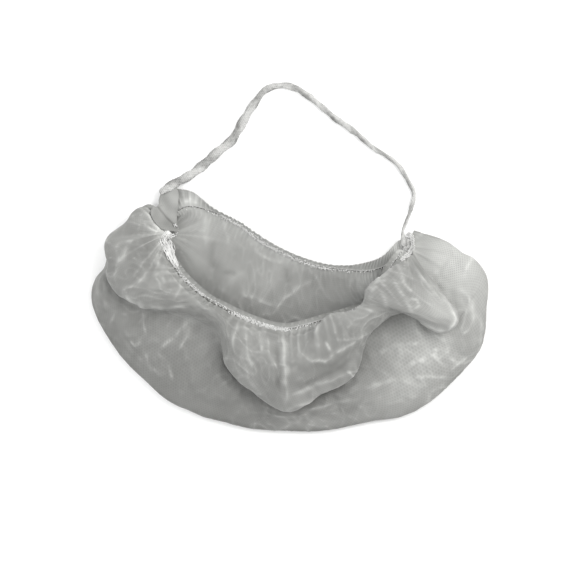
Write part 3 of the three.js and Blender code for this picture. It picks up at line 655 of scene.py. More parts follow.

# The cloth's layers by their places, and the creases on each: height in mm, half width in mm, paleness and
# the frame's pixels that the crease runs along
# A negative paleness paints shade along the crease's hollow
layers = dict(puff=(0.8, 8.5), panel=(8.4, 12.7), floor=(12.6, 15.9), heading=(15.4, 17.2))
creases = dict(
    puff=(
        (1.2, 1.6, 0.7, (125, 294), (135, 303), (146, 307)),
        (0.8, 1.3, 0.5, (146, 306), (168, 307), (190, 306)),
        (0.7, 1.4, 0.35, (125, 294), (135, 286), (143, 279)), (0.6, 1.3, 0.3, (128, 242), (140, 241)),
        (0.7, 1.4, 0.35, (128, 244), (124, 256), (118, 267)),
        (0.9, 1.1, 0.5, (145, 211), (156, 225), (164, 234)), (0.9, 1.1, 0.55, (143, 222), (160, 234)),
        (0.7, 1.0, 0.4, (150, 214), (161, 230)), (1.6, 2.6, 0.95, (165, 234), (170, 251), (178, 267)),
        (0.6, 1.6, 0.35, (160, 240), (158, 262), (166, 285)),
        (0.6, 1.2, 0.3, (178, 268), (181, 288), (177, 300)), (-0.6, 1.4, -0.1, (150, 246), (146, 268)),
        (0.7, 1.2, 0.25, (186, 291), (196, 300), (214, 312)),
        (0.7, 1.0, 0.4, (238, 322), (235, 334), (233, 348)),
        (0.9, 1.4, 0.75, (247, 328), (248, 348), (251, 366)), (0.6, 1.0, 0.3, (258, 328), (262, 352)),
        (0.7, 1.0, 0.35, (266, 330), (271, 356), (278, 372)),
        (1.4, 2.0, 0.6, (283, 335), (285, 360), (287, 404)),
        (0.3, 4.0, 0.18, (290, 403), (320, 391), (350, 379)), (-0.9, 1.8, -0.2, (277, 345), (279, 392)),
        (0.6, 1.2, 0.3, (243, 352), (248, 380), (262, 394)),
        (0.9, 1.4, 0.45, (288, 409), (316, 398), (346, 384)),
        (0.9, 1.6, 0.45, (291, 395), (318, 384), (347, 373)),
        (-0.8, 2.0, -0.2, (297, 388), (330, 372), (352, 358)),
        (1.0, 1.0, 0.75, (348, 370), (353, 377), (358, 384)), (0.8, 0.9, 0.6, (346, 372), (358, 371)),
        (0.9, 1.3, 0.5, (320, 307), (327, 301), (341, 302), (363, 308), (380, 315)),
        (0.8, 1.1, 0.45, (330, 315), (335, 335)), (0.7, 1.0, 0.4, (331, 339), (356, 339)),
        (0.9, 1.2, 0.6, (324, 342), (331, 350)),
        (1.1, 1.4, 0.5, (369, 331), (350, 344), (335, 353), (324, 361), (309, 360)),
        (-1.0, 2.0, -0.12, (366, 340), (345, 354), (330, 365), (312, 366)),
        (0.8, 1.3, 0.4, (318, 320), (317, 334), (319, 347)),
        (0.7, 1.2, 0.3, (298, 340), (301, 352), (309, 360)),
        (0.8, 1.3, 0.45, (382, 262), (377, 280), (369, 298)),
        (0.9, 1.3, 0.5, (391, 279), (397, 288), (404, 298), (411, 316)),
        (0.7, 1.1, 0.4, (400, 270), (403, 283), (411, 292)),
        (0.9, 1.2, 0.45, (415, 269), (425, 281), (435, 295), (449, 304)),
        (1.2, 1.3, 0.7, (449, 304), (455, 318), (447, 330), (434, 329), (422, 323)),
        (0.6, 1.0, 0.35, (403, 301), (415, 299), (418, 305), (411, 310)),
        (0.7, 1.1, 0.4, (439, 258), (453, 276), (455, 284)),
        (0.7, 1.2, 0.35, (384, 276), (380, 292), (388, 310)),
    ),
    panel=(
        (0.9, 1.6, 0.35, (474, 256), (468, 266), (463, 277)),
        (0.8, 1.4, 0.4, (457, 287), (466, 295), (471, 304), (475, 327)),
        (0.9, 1.1, 0.5, (406, 367), (422, 358), (434, 354), (437, 346)),
        (0.7, 1.0, 0.4, (411, 378), (430, 376), (447, 377)),
        (0.8, 1.0, 0.45, (425, 350), (434, 356), (444, 368)),
        (0.9, 1.0, 0.6, (452, 371), (459, 362), (466, 358)), (0.7, 1.0, 0.45, (449, 356), (459, 366)),
        (0.7, 1.6, 0.25, (372, 356), (396, 346), (424, 342)),
        (0.8, 1.8, 0.3, (364, 388), (392, 380), (424, 386)),
        (0.8, 1.5, 0.3, (300, 414), (330, 404), (360, 398)),
        (0.7, 1.4, 0.25, (290, 416), (304, 424), (330, 427)),
        (1.3, 1.4, 0.5, (127, 296), (140, 305), (160, 307), (190, 306), (208, 309)),
        (0.7, 1.1, 0.3, (143, 310), (143, 322), (146, 334)),
        (0.9, 1.4, 0.32, (192, 316), (178, 334), (160, 350)),
        (0.7, 1.3, 0.28, (190, 322), (188, 336), (178, 350)),
        (0.6, 1.3, 0.25, (104, 300), (114, 312), (110, 326)),
        (0.6, 1.0, 0.35, (131, 340), (136, 345), (141, 342)),
        (0.8, 1.3, 0.3, (144, 352), (148, 366), (158, 372)),
        (0.7, 1.3, 0.28, (158, 352), (168, 366), (172, 380)),
        (0.6, 1.2, 0.22, (120, 334), (131, 352), (142, 362)),
        (-1.2, 2.4, -0.25, (216, 318), (219, 345), (228, 368), (240, 385)),
    ),
    floor=(
        (1.0, 2.2, 0.25, (203, 213), (206, 224), (203, 234), (207, 248)),
        (-0.6, 3.8, -0.24, (213, 238), (211, 256), (214, 270)),
        (0.9, 1.4, 0.3, (224, 220), (226, 232), (227, 245)),
        (1.0, 3.0, 0.2, (245, 270), (230, 280), (220, 294)), (-0.7, 1.3, -0.25, (222, 272), (236, 273)),
        (0.9, 1.5, 0.3, (240, 293), (257, 299), (276, 308)),
        (0.7, 1.2, 0.3, (250, 244), (262, 256), (284, 264)),
        (0.6, 1.6, 0.25, (276, 302), (294, 290), (312, 280)), (-0.6, 2.0, -0.2, (286, 268), (288, 284)),
    ),
    heading=(
        (0.6, 1.2, 0.5, (181, 203), (190, 199), (198, 204)),
    ),
)

# Painted light and shade by layer, and clear netting: the frame's pixel, reach in pixels, painted tone and
# clearness
paintedLightShadePatches = dict(
    puff=(
        (152, 292, 14, 0.06, 0), (154, 213, 9, 0.16, 0), (135, 235, 14, -0.04, 0), (440, 308, 26, 0.26, 0.15),
        (402, 282, 20, -0.02, 0), (350, 312, 14, 0.08, 0), (338, 330, 20, -0.06, 0), (145, 262, 26, -0.06, 0),
    ),
    panel=(
        (450, 260, 34, 0.47, 0.28), (472, 300, 40, 0.17, 0.08), (439, 283, 10, 0, 0.3),
        (457, 262, 11, 0, 0.3), (425, 350, 44, 0.2, 0.1), (385, 365, 16, -0.05, 0), (330, 410, 30, -0.04, 0),
        (400, 405, 50, 0.1, 0.05), (120, 330, 50, -0.05, 0), (185, 385, 60, -0.035, 0),
        (205, 345, 14, 0.06, 0), (154, 213, 9, 0.2, 0), (260, 410, 50, -0.03, 0),
    ),
    floor=(
        (154, 213, 9, 0.2, 0), (192, 266, 14, 0.1, 0), (335, 288, 34, -0.03, 0), (285, 268, 24, 0.06, 0),
        (198, 235, 26, 0.16, 0), (240, 262, 50, 0.09, 0), (208, 222, 12, 0.06, 0), (372, 280, 15, 0.34, 0),
        (340, 292, 14, 0.07, 0),
    ),
    heading=(
        (190, 201, 10, 0.22, 0), (240, 226, 28, 0.16, 0), (290, 254, 32, 0.16, 0), (335, 264, 24, 0.14, 0),
        (393, 250, 14, 0.12, 0),
    ),
)

# Fine ripples of the netting: pleats that run out from the hems and the corners, and crumples between
ripples = dict(
    columns=440, rows=200, lowest=0.25, rimPleat=0.5, rimPitch=4.2, rimFade=11.0, rimTone=0.3, wander=1.6,
    headPleat=0.3, headPitch=3.0, headTone=0.16, backPleat=0.45, backFade=6.0, backTone=0.14,
    cornerPleat=0.6, cornerTurns=13, cornerFrom=(0.5, 9.0), cornerFade=18.75, knot=7.5, knotTone=0.5,
    crumple=0.4, crumpleSize=16.0, crumpleTone=0.09, vein=0.16, veinSize=9.0, veinTone=0.08,
    fine=0.07, fineSize=3.2, relief=0.5, glow=0.52, wobble=1.3, hemTone=0.15, rimShade=0.1, rimWidth=2.2,
    bend=0.6, bendFrom=0.05, bendMost=0.12, closed=0.93, hemClosed=0.3,
)
corners = dict(left=dict(at=(167, 234), tone=0.22, seed=5), right=dict(at=(405, 246), tone=0.1, seed=6))


def inLayer(spot, layer, soft):
    low, high = layers[layer]
    return smooth(spot, low - soft, low + soft) * (1 - smooth(spot, high - soft, high + soft))


def strokeDistance(x, y, points):  # how far each place lies from a stroke, and how far along the stroke
    nearest = np.full(x.shape, 1e6)
    share = np.zeros(x.shape)
    for part, (start, end) in enumerate(zip(points, points[1:])):
        a, b = np.array(atPixel(*start)), np.array(atPixel(*end))
        run = b - a
        t = np.clip(((x - a[0]) * run[0] + (y - a[1]) * run[1]) / (run @ run), 0, 1)
        away = np.hypot(x - a[0] - t * run[0], y - a[1] - t * run[1])
        share = np.where(away < nearest, (part + t) / (len(points) - 1), share)
        nearest = np.minimum(nearest, away)
    return nearest, share


def noiseGrid(u, v, size, seed, ridged=False):
    shift = seed * 17.3
    flat = [noise.noise((a / size + shift, b / size - shift, shift)) for a, b in zip(u.ravel(), v.ravel())]
    values = np.array(flat).reshape(u.shape)
    return 1 - 2 * np.abs(values) * 1.6 if ridged else values


def detailedNet():
    columns, rows = ripples["columns"] + 1, ripples["rows"] + 1
    length, width = clothGrid.shape[:2]
    grid = gridAt(clothGrid, np.linspace(0, length - 1, columns), np.linspace(0, width - 1, rows))
    section = np.interp(np.linspace(0, 1, columns), np.linspace(0, 1, len(sections)), sections)
    spot = np.interp(np.linspace(0, 1, rows), np.linspace(0, 1, len(spots)), spots)
    section, spot = np.broadcast_arrays(section[:, None], spot[None])
    u = np.linspace(0, net["flat"][0] / mm, columns)[:, None] * np.ones_like(spot)
    v = np.linspace(0, net["flat"][1] / mm, rows)[None] * np.ones_like(spot)
    out = upNormals(grid)
    steps = np.linalg.norm(np.diff(grid, axis=1), axis=-1).mean(0)
    rowRun = np.concatenate([[0], np.cumsum(steps)])
    runAt = lambda name: float(np.interp(place[name], spot[0], rowRun))
    run = rowRun[None] * np.ones_like(spot)
    x, y = grid[..., 0], grid[..., 1]
    height, pale = np.zeros_like(u), np.zeros_like(u)
    # Pleats across the hems
    wander = noiseGrid(u, v, 26.0, 1) * ripples["wander"]
    pleat = np.cos((u / ripples["rimPitch"] + wander) * math.pi) * (0.6 + 0.8 * noiseGrid(u, v * 0.3, 9.0, 2))
    offRim, offBack = np.abs(run - runAt("rim")), np.abs(run - runAt("back"))
    fade = np.exp(-offRim / ripples["rimFade"]) * smooth(offRim, 0.2, 3.0) * (spot < 9)
    height += ripples["rimPleat"] * pleat * fade
    pale += np.maximum(pleat, 0) * fade * ripples["rimTone"]
    ruffle = np.cos((u / ripples["headPitch"] + wander) * math.pi) * (0.7 + 0.6 * noiseGrid(u, v, 7.0, 3))
    atHead = smooth(spot, place["back"] - 0.1, place["back"] + 0.6)
    toBack = np.exp(-offBack / ripples["backFade"]) * smooth(offBack, 0.2, 2.5)
    inPanel = (spot < place["back"]) * (spot > place["turn"])
    height += ruffle * (ripples["headPleat"] * atHead + ripples["backPleat"] * toBack * inPanel)
    pale += np.maximum(ruffle, 0) * (ripples["headTone"] * atHead + ripples["backTone"] * toBack)
    # Pleats that run out from the tacked corners
    gathered = np.zeros_like(u)
    for corner in corners.values():
        cx, cy = atPixel(*corner["at"])
        away = np.hypot(x - cx, y - cy)
        angle = np.arctan2(y - cy, x - cx)
        turned = noiseGrid(np.cos(angle) * 30, np.sin(angle) * 30 + away * 0.15, 9.0, corner["seed"])
        near = smooth(away, *ripples["cornerFrom"]) * np.exp(-away / ripples["cornerFade"])
        fan = np.cos(angle * ripples["cornerTurns"] + turned * 7)
        height += ripples["cornerPleat"] * fan * near * (spot > 1.5) * (spot < 12.5)
        gathered = np.maximum(gathered, bell(away, ripples["knot"]))
        pale += np.maximum(fan, 0) * near * corner["tone"]
    # Crumples over the whole cloth
    calm = smooth(np.abs(section - lastSection / 2), lastSection / 2, lastSection / 2 - 1.2)
    free = smooth(offRim, 1.0, 7.0) * smooth(offBack, 0.5, 5.0) * calm
    size = ripples["crumpleSize"]
    sharp = np.maximum(noiseGrid(u, v, size, 7, True), 0) ** 3
    sharp = sharp + 0.6 * np.maximum(noiseGrid(u + 0.4 * v, v - 0.4 * u, size * 0.55, 8, True), 0) ** 3
    cloud = np.clip(noiseGrid(u, v, 42.0, 9) * 1.6 + 0.55, 0, 1)
    height += ripples["crumple"] * (sharp - 0.35) * free * cloud
    height += ripples["fine"] * noiseGrid(u, v, ripples["fineSize"], 10) * free
    pale += ripples["crumpleTone"] * sharp * free * cloud
    veins = np.maximum(noiseGrid(u + 0.3 * v, v * 0.8, ripples["veinSize"], 14, True), 0) ** 4
    veins = veins * np.clip(noiseGrid(u, v, 23.0, 15) * 2.2 + 0.4, 0, 1) * free
    height += ripples["vein"] * veins
    pale += ripples["veinTone"] * veins
    broken = 0.65 + 0.9 * noiseGrid(x, y, 5.0, 11)
    wobbleX = x + ripples["wobble"] * noiseGrid(x, y, 8.0, 12)
    wobbleY = y + ripples["wobble"] * noiseGrid(x, y, 8.0, 13)
    # A crease with negative paleness gets painted shade along its hollow
    for layer, strokes in creases.items():
        inside = inLayer(spot, layer, 0.3)
        for rise, width, paleness, *points in strokes:
            away, share = strokeDistance(wobbleX, wobbleY, points)
            taper = np.clip(np.minimum(share, 1 - share) * 5 + 0.25, 0, 1)
            ridge = np.exp(-((away / width) ** 1.4)) * taper * inside
            height += rise * ridge * ripples["relief"]
            pale += paleness * ridge * ripples["glow"] * (broken if paleness > 0 else 1)
    grid = grid + out * height[..., None]
    grid[..., 2] = np.maximum(grid[..., 2], ripples["lowest"])
    # Threads lie closer along the folds, so a sharp bend shows paler
    middle = neighbourMean(neighbourMean(grid))
    bend = ((grid - middle) * gridNormals(grid)).sum(-1)
    pale += np.clip(np.abs(bend) * ripples["bend"] - ripples["bendFrom"], 0, ripples["bendMost"])
    hems = bell(offRim, 2.6) + bell(offBack, 2.2)
    pale += ripples["hemTone"] * hems + ripples["knotTone"] * gathered
    pale -= ripples["rimShade"] * bell(run - runAt("edge"), ripples["rimWidth"])
    # Painted light and shade from the patches, and clearer netting where they open it
    clear = np.zeros_like(u)
    for layer, fields in paintedLightShadePatches.items():
        inside = inLayer(spot, layer, 0.4)
        for px, py, reach, tone, opened in fields:
            near = nearPixel(x, y, px, py, reach) * inside
            pale += tone * near
            clear += opened * near
    dense = np.clip(ripples["closed"] - clear + ripples["hemClosed"] * hems + gathered, 0, 1)
    return grid, section, spot, u, v, pale, dense


grid, sectionAt, spotAt, u, v, pale, dense = detailedNet()
nettingSheet, i, j = gridObject("nettingSheet", grid)
gridUv(nettingSheet, u[i, j] * mm, v[i, j] * mm)
pointValues(nettingSheet, "pale", np.clip(pale, -0.2, 1)[i, j])
pointValues(nettingSheet, "dense", dense[i, j])
finishPiece(nettingSheet, netting, "netting", "net_pouch")
print("netting sheet ready")


# Elastic and overlock stitches along the two hems: how thickly each hem is stitched, how open the painted
# shade of its needle holes is and how far it lies off the hem's middle, by the frame's pixel across
hemStitches = dict(
    front=dict(
        place="rim", first=0.9, last=18.6, out=1, half=1.5, lift=0.45, elastic=0.5, hang=2.4,
        thick=(
            (176, 0.35), (183, 0.7), (203, 0.7), (210, 0.35), (232, 0.4), (241, 1), (286, 1), (291, 0.4),
            (320, 0.25), (405, 0.3),
        ),
        holeShades=(
            (176, 0.2), (180, 1.2), (237, 1.1), (243, 0), (288, 0), (292, 0.9), (330, 0.9), (405, 0.5),
        ),
        seam=((176, 1.5), (232, 1.5), (290, 0), (405, 0)),
    ),
    back=dict(
        place="back", first=1.7, last=18.7, out=-1, half=1.6, lift=0.6, elastic=0.4, hang=1.6,
        thick=(
            (172, 0), (212, 0.1), (224, 0.6), (236, 1), (262, 0.9), (290, 0.8), (330, 0.85), (345, 0.4),
            (368, 0.2), (405, 0.25),
        ),
        holeShades=(
            (172, 0.5), (180, 1), (216, 1), (230, 0.35), (300, 0.2), (345, 0.3), (378, 0.9), (405, 1),
        ),
        seam=((172, 0), (405, 0)),
    ),
)
stitching = dict(thread=0.24, dashes=2.5, loopPitch=1.9, holePitch=2.2, hole=0.38, passes=12)


def hemLine(hem):  # points, sideways and outward directions along a hem
    row = int(np.argmin(np.abs(spotAt[0] - place[hem["place"]])))
    keep = (sectionAt[:, 0] >= hem["first"]) & (sectionAt[:, 0] <= hem["last"])
    line = grid[keep, row]
    outward = upNormals(grid)[keep, row]
    wide = (grid[keep, row + 2] - grid[keep, row - 2]) * hem["out"]
    for _ in range(stitching["passes"]):
        for values in (line, outward, wide):
            ease(values)
    return line, unit(wide), unit(outward), runAlong(line)


def onLine(line, run, at):
    return np.stack([np.interp(at, run, line[:, axis]) for axis in range(3)], 1)


def hemThreads(hem, seed):
    rng = random.Random(seed)
    line, wide, outward, run = hemLine(hem)

    def along(name, at):
        px = onLine(line, run, [at])[0, 0] / camera["pixel"] + camera["pixels"] / 2
        return float(np.interp(px, *zip(*hem[name])))

    def placed(points):
        at, across, lift = np.array(points, float).T
        middle, sideways, up = (onLine(lines, run, at) for lines in (line, wide, outward))
        return middle + sideways * across[:, None] + up * lift[:, None]

    threads, holeShades = [], []
    half, lift = hem["half"], hem["lift"]
    for at in np.arange(0.6, run[-1] - 0.6, 1 / stitching["dashes"]):
        thick = along("thick", at)
        if rng.random() > thick * 0.95 + 0.05:
            continue
        at, across = at + rng.uniform(-0.2, 0.2), rng.gauss(0.2, 0.5) * half
        lean, reach = rng.gauss(0, 0.75), rng.uniform(0.35, 0.85) * (0.5 + 0.5 * thick)
        a, b = math.sin(lean) * reach, math.cos(lean) * reach
        high = lift + rng.uniform(0, 0.5)
        top = (at + rng.uniform(-0.15, 0.15), across, high * 1.2)
        threads.append(placed([(at - a, across - b, high * 0.7), top, (at + a, across + b, high * 0.7)]))
    for at in np.arange(1.0, run[-1] - 1.0, stitching["loopPitch"]):
        thick = along("thick", at) * rng.uniform(0.5, 1.25)
        if thick < 0.32:
            continue
        reach, bow = half * 0.5 + hem["hang"] * thick * rng.uniform(0.35, 1), rng.uniform(0.3, 0.75)
        lean = rng.uniform(-0.9, 0.9)
        threads.append(placed([
            (at - bow, half * 0.2, lift), (at - bow * 0.7 + lean * 0.5, reach * 0.7, lift * 0.9),
            (at + lean, reach, lift * 0.7), (at + bow * 0.8 + lean * 0.6, reach * 0.6, lift),
            (at + bow * 0.5, half * 0.1, lift * 1.3),
        ]))
    for at in np.arange(0.8, run[-1] - 0.8, stitching["holePitch"]):
        size = along("holeShades", at)
        if size > 0.15:
            at, long = at + rng.uniform(-0.25, 0.25), 0.25 + 0.5 * size
            across = along("seam", at) + rng.uniform(-0.2, 0.2)
            holeShades.append(placed([(at - long, across, 0.12), (at + long, across, 0.12)]))
    core = placed([(at, -0.2 * half, 0.05) for at in np.arange(0.5, run[-1] - 0.5, 0.8)])
    return threads, holeShades, core


for name, node, seed in (("front", "front_elastic", 21), ("back", "back_elastic", 22)):
    threads, holeShades, core = hemThreads(hemStitches[name], seed)
    # The dark elastic core paints shade along the hem
    elastic = threadPiece(name + "ElasticCore", [core], hemStitches[name]["elastic"], sides=2)
    finishPiece(elastic, elasticPaintedShade, "elastic", node)
    finishPiece(threadPiece(name + "NeedleHoleShade", holeShades, stitching["hole"]), paintedHoleShade, "elastic")
    sewn(name + "Overlock", threads, stitching["thread"], "elastic")
print("hems stitched")


# Small loops of thread on the ruffle's free edge, each through the same points beside and beyond the edge
loops = dict(
    first=34.0, last=26, pitch=2.1, size=(0.25, 0.7), wide=1.3, thread=0.12, seed=31,
    shape=((-1.2, -0.9), (-1.4, 0.5), (-0.5, 1.1), (0.6, 1.0), (1.3, 0.3), (1.0, -0.9)),
)


def ruffleLoops():
    rng = random.Random(loops["seed"])
    edge = grid[:, -1]
    away = unit(grid[:, -1] - grid[:, -4])
    run = runAlong(edge)
    lines = []
    for at in np.arange(loops["first"], run[-1] - loops["last"], loops["pitch"]):
        middle, out = onLine(edge, run, [at]), onLine(away, run, [at])
        along = (onLine(edge, run, [at + 0.5]) - middle) * loops["wide"]
        size = rng.uniform(*loops["size"])
        lines.append([(middle + along * over + out * size * off)[0] for over, off in loops["shape"]])
    sewn("ruffleLoops", lines, loops["thread"])


ruffleLoops()

netPoints = grid.reshape(-1, 3)


def restingOn(x, y, reach=2.2):  # how high the netting lies here
    near = (netPoints[:, 0] - x) ** 2 + (netPoints[:, 1] - y) ** 2 < reach ** 2
    return float(netPoints[near, 2].max()) if near.any() else 0.0


# The head loop's flat left end, one fold of netting: its two edges and its crease by the frame's pixels
tab = dict(
    rows=(
        (160.5, 192, 176, 187), (158.4, 199, 178.5, 194), (157.5, 205.5, 178, 201.5),
        (152, 207.5, 178, 207), (150.5, 213, 177, 212.5), (154, 221, 176.5, 219.5),
        (160.5, 228, 177.5, 228.5), (162, 229.5, 178, 232),
    ),
    steps=48, across=20, thick=0.3, above=0.25, reach=1.0, lowest=5.6, pale=0.12, cloud=0.16,
    fold=((158, 207), (166, 217), (176, 227)), foldRise=0.5, foldShade=0.2, foldWidth=0.7, passes=14,
)


def strapTab():
    edges = np.array([(*atPixel(x0, y0), *atPixel(x1, y1)) for x0, y0, x1, y1 in tab["rows"]])
    edges = splineThrough(edges, tab["steps"])
    shares = np.linspace(0, 1, tab["across"] + 1)[None, :, None]
    top = np.zeros((tab["steps"] + 1, tab["across"] + 1, 3))
    top[..., :2] = mix(edges[:, None, :2], edges[:, None, 2:], shares)
    for line in top:
        rest = [restingOn(x, y, tab["reach"]) + tab["above"] for x, y, z in line]
        rest = np.maximum(rest, tab["lowest"])
        taut = np.linspace(rest[0], rest[-1], len(rest))
        line[:, 2] = taut + max((rest - taut).max(), 0)
    for _ in range(tab["passes"]):
        top[..., 2] = neighbourMean(top)[..., 2]
    (x0, y0), (x1, y1) = atPixel(*tab["fold"][0]), atPixel(*tab["fold"][-1])
    beside = (top[..., 0] - x0) * (y1 - y0) - (top[..., 1] - y0) * (x1 - x0)
    beside = beside / math.hypot(x1 - x0, y1 - y0)
    top[..., 2] += tab["foldRise"] * smooth(beside, 0.3, -0.5) * smooth(beside, -6.0, -2.0)
    under = top - (0, 0, tab["thick"])
    under[0], under[-1] = top[0], top[-1]
    around = np.concatenate([top, under[:, ::-1], top[:, :1]], axis=1)
    piece, i, j = gridObject("strapTab", around)
    gridUv(piece, around[i, j, 0] * mm, around[i, j, 1] * mm)
    cloud = noiseGrid(around[..., 0], around[..., 1], 7.0, 16)
    off, share = strokeDistance(around[..., 0], around[..., 1], tab["fold"])
    shade = tab["foldShade"] * bell(off, tab["foldWidth"])
    pointValues(piece, "pale", (tab["pale"] + tab["cloud"] * cloud - shade)[i, j])
    pointValues(piece, "dense", np.ones(len(i)))
    closeSeams(piece)
    finishPiece(piece, netting, "strap")


strapTab()

# The head loop: a strip of netting rolled round its elastic and loosely twisted. The frame's pixels along
# its middle, its width there in pixels, and how far it is lifted onto the net, from 0 to 1
strapRoute = (
    (161, 195, 2.5, 0.8), (163, 191.5, 6, 0.8), (168.5, 187.8, 8.8, 0.7), (177, 182.5, 8.8, 0.3),
    (191.5, 174.2, 8.6, 0), (205.5, 163, 9.4, 0), (219.5, 150.5, 8.8, 0), (232, 140, 8.6, 0),
    (241, 125, 8.4, 0), (251, 108.2, 7.8, 0), (258, 98.2, 6.4, 0), (265, 90.2, 6.4, 0), (279, 85.4, 5.8, 0),
    (293.2, 87.2, 6.2, 0), (308.3, 96, 6, 0), (320.6, 106, 5.2, 0), (334.6, 117.8, 5.8, 0),
    (346.6, 126, 5.8, 0), (359.4, 135.8, 5, 0), (373.2, 147.9, 4.4, 0), (387.3, 156.3, 4, 0),
    (398, 165, 4.3, 0), (407.2, 179.3, 4.3, 0), (413.8, 193, 4, 0), (411.3, 207.5, 4, 0.2),
    (406, 222, 3.4, 0.7), (402.8, 230, 2.9, 1), (402.8, 239, 5.6, 1), (403.5, 247, 4.4, 1),
)
strap = dict(
    steps=560, sides=28, thick=1.5, thin=0.7, floor=0.35, under=8.0, twistPitch=27.0, lobes=0.12,
    ruche=0.14, rucheSize=2.4, spread=1.006, towardsLight=(0.9, 0.25), pale=0.53, lit=0.3, strand=0.28,
    rim=0.35, swing=1.2, swingRun=31, taper=1.2, thirdLobe=0.05, slim=1.6,
)


def strapTube():
    rows = np.array([(*atPixel(px, py), lift) for px, py, width, lift in strapRoute])
    rows[:, :2] *= strap["spread"]
    widths = np.array([[width * camera["pixel"] / 2, 0, 0] for px, py, width, lift in strapRoute])
    points = splineThrough(rows, strap["steps"])
    halfWidths = splineThrough(widths, strap["steps"])[:, 0]
    onNet = np.clip(points[:, 2], 0, 1)
    halfHeights = mix(strap["thick"], strap["thin"], onNet) * np.minimum(1, halfWidths / strap["slim"])
    points[:, 2] = halfHeights + strap["floor"] + onNet * strap["under"]
    run = runAlong(points)
    twist = run / strap["twistPitch"] * 2 * math.pi + strap["swing"] * np.sin(run / strap["swingRun"])
    ends = smooth(run, 0, strap["taper"]) * (1 - smooth(run, run[-1] - strap["taper"], run[-1]))

    def section(index, angles):
        turned = angles - twist[index]
        radius = 1 + strap["lobes"] * np.cos(2 * turned) + strap["thirdLobe"] * np.cos(3 * turned + 1)
        for side, angle in enumerate(angles[:-1]):
            at = (math.cos(angle) * 1.6, math.sin(angle) * 1.6 + run[index] * 0.25, run[index])
            radius[side] += strap["ruche"] * noise.noise(Vector(at) / strap["rucheSize"] * 2)
        radius[-1] = radius[0]
        return np.stack([np.cos(angles) * radius, np.sin(angles) * radius], 1)

    piece = tubePiece("headLoop", points, halfWidths * ends, halfHeights * ends, strap["sides"], section)
    spots = np.array([vertex.co for vertex in piece.data.vertices]) / mm
    nearest = np.array([np.argmin(((points[:, :2] - spot[:2]) ** 2).sum(1)) for spot in spots])
    away = spots - points[nearest]
    outward = away / np.maximum(np.linalg.norm(away, axis=1, keepdims=True), 1e-6)
    # Painted light and shade: paler towards the key light, a stripe turning with the twist, darker steep
    # sides
    lit = outward[:, 0] * strap["towardsLight"][0] + outward[:, 1] * strap["towardsLight"][1]
    strand = np.cos(np.arctan2(away[:, 2], (away[:, 0] + away[:, 1])) - twist[nearest])
    rim = smooth(1 - np.abs(outward[:, 2]), 0.45, 0.9)
    pale = strap["pale"] + strap["lit"] * lit + strap["strand"] * strand - strap["rim"] * rim
    pointValues(piece, "pale", np.clip(pale, 0, 1))
    print("head loop is", round(float(run[-1]), 1), "mm long")
    finishPiece(piece, rolledNetting, "strap", "head_strap")


strapTube()


# The tacked corners: bunched netting, the left one under bars of thread
bunches = dict(
    left=dict(
        at=(163.6, 235), z=10.2, reach=(4.8, 5.0, 4.8), turn=-50, pleats=11, pale=1.6, bars=9, seed=41,
    ),
    right=dict(
        at=(406.5, 245.5), z=6.0, reach=(4.4, 6.0, 4.2), turn=-8, pleats=9, pale=0.05, bars=0, seed=42,
    ),
)
bunching = dict(
    pleats=0.14, lumps=0.14, waist=0.72, swell=0.38, lowest=0.4,
    thread=0.28, barSteps=14, spread=2.2, slant=0.9, overrun=0.35, wide=0.84, high=0.86,
)


def bunch(name, size):
    bm = bmesh.new()
    bmesh.ops.create_icosphere(bm, subdivisions=5, radius=1)
    cx, cy = atPixel(*size["at"])
    turn = math.radians(size["turn"])
    for vertex in bm.verts:
        spot = vertex.co.copy()
        angle = math.atan2(spot.z, spot.x)
        wave = math.cos(angle * size["pleats"] + 3 * noise.noise(spot * 2 + Vector((size["seed"], 0, 0))))
        lumps = noise.noise(spot * 3.1 + Vector((0, size["seed"], 0)))
        spot *= 1 + bunching["pleats"] * wave * (1 - abs(spot.y)) + bunching["lumps"] * lumps
        waist = bunching["waist"] + bunching["swell"] * spot.y * spot.y
        wide, long, high = size["reach"]
        x, y = rotated(spot.x * wide * waist, spot.y * long, turn)
        z = max(size["z"] + spot.z * high * waist, bunching["lowest"])
        vertex.co = Vector((cx + x, cy + y, z)) * mm
    piece = newObject(name + "Bunch", meshFrom(bm, name + "Bunch"))
    pointValues(piece, "pale", np.full(len(piece.data.vertices), size["pale"]))
    finishPiece(piece, packedNetting, "gathered_thread", name + "_gather")


def tackThreads(name, size):  # bars of thread wound across a bunch
    rng = random.Random(size["seed"])
    cx, cy = atPixel(*size["at"])
    turn = math.radians(size["turn"])
    lines = []
    for bar in range(size["bars"]):
        along = bunching["spread"] * (2 * bar / (size["bars"] - 1) - 1) + rng.uniform(-0.3, 0.3)
        slant = rng.uniform(-bunching["slant"], bunching["slant"])
        line = []
        for step in range(bunching["barSteps"] + 1):
            over = bunching["overrun"]
            angle = mix(-over, math.pi + over, step / bunching["barSteps"])
            x = math.cos(angle) * size["reach"][0] * bunching["wide"]
            z = size["z"] + math.sin(angle) * size["reach"][2] * bunching["high"]
            x, y = rotated(x, along + slant * math.cos(angle), turn)
            line.append((cx + x, cy + y, z))
        lines.append(line)
    sewn(name + "Tack", lines, bunching["thread"])


for name, size in bunches.items():
    bunch(name, size)
    if size["bars"]:
        tackThreads(name, size)

# Threads and gathered netting that run down the rim from the left corner: middle line and width in pixels
wedge = dict(
    route=((163.5, 238, 10), (165.5, 243, 11.5), (169.5, 251, 9.5), (174, 261, 6.5), (178.5, 270, 2.5)),
    strands=26, steps=22, thread=0.3, lift=0.1, wander=0.7, seed=51,
)


def widthRoute(route, steps):  # points, sideways directions and widths in mm along a route
    rows = np.array([(*atPixel(px, py), width * camera["pixel"]) for px, py, width in route])
    rows = splineThrough(rows, steps)
    along = unit(np.gradient(rows[:, :2], axis=0))
    return rows[:, :2], np.stack([-along[:, 1], along[:, 0]], 1), rows[:, 2]


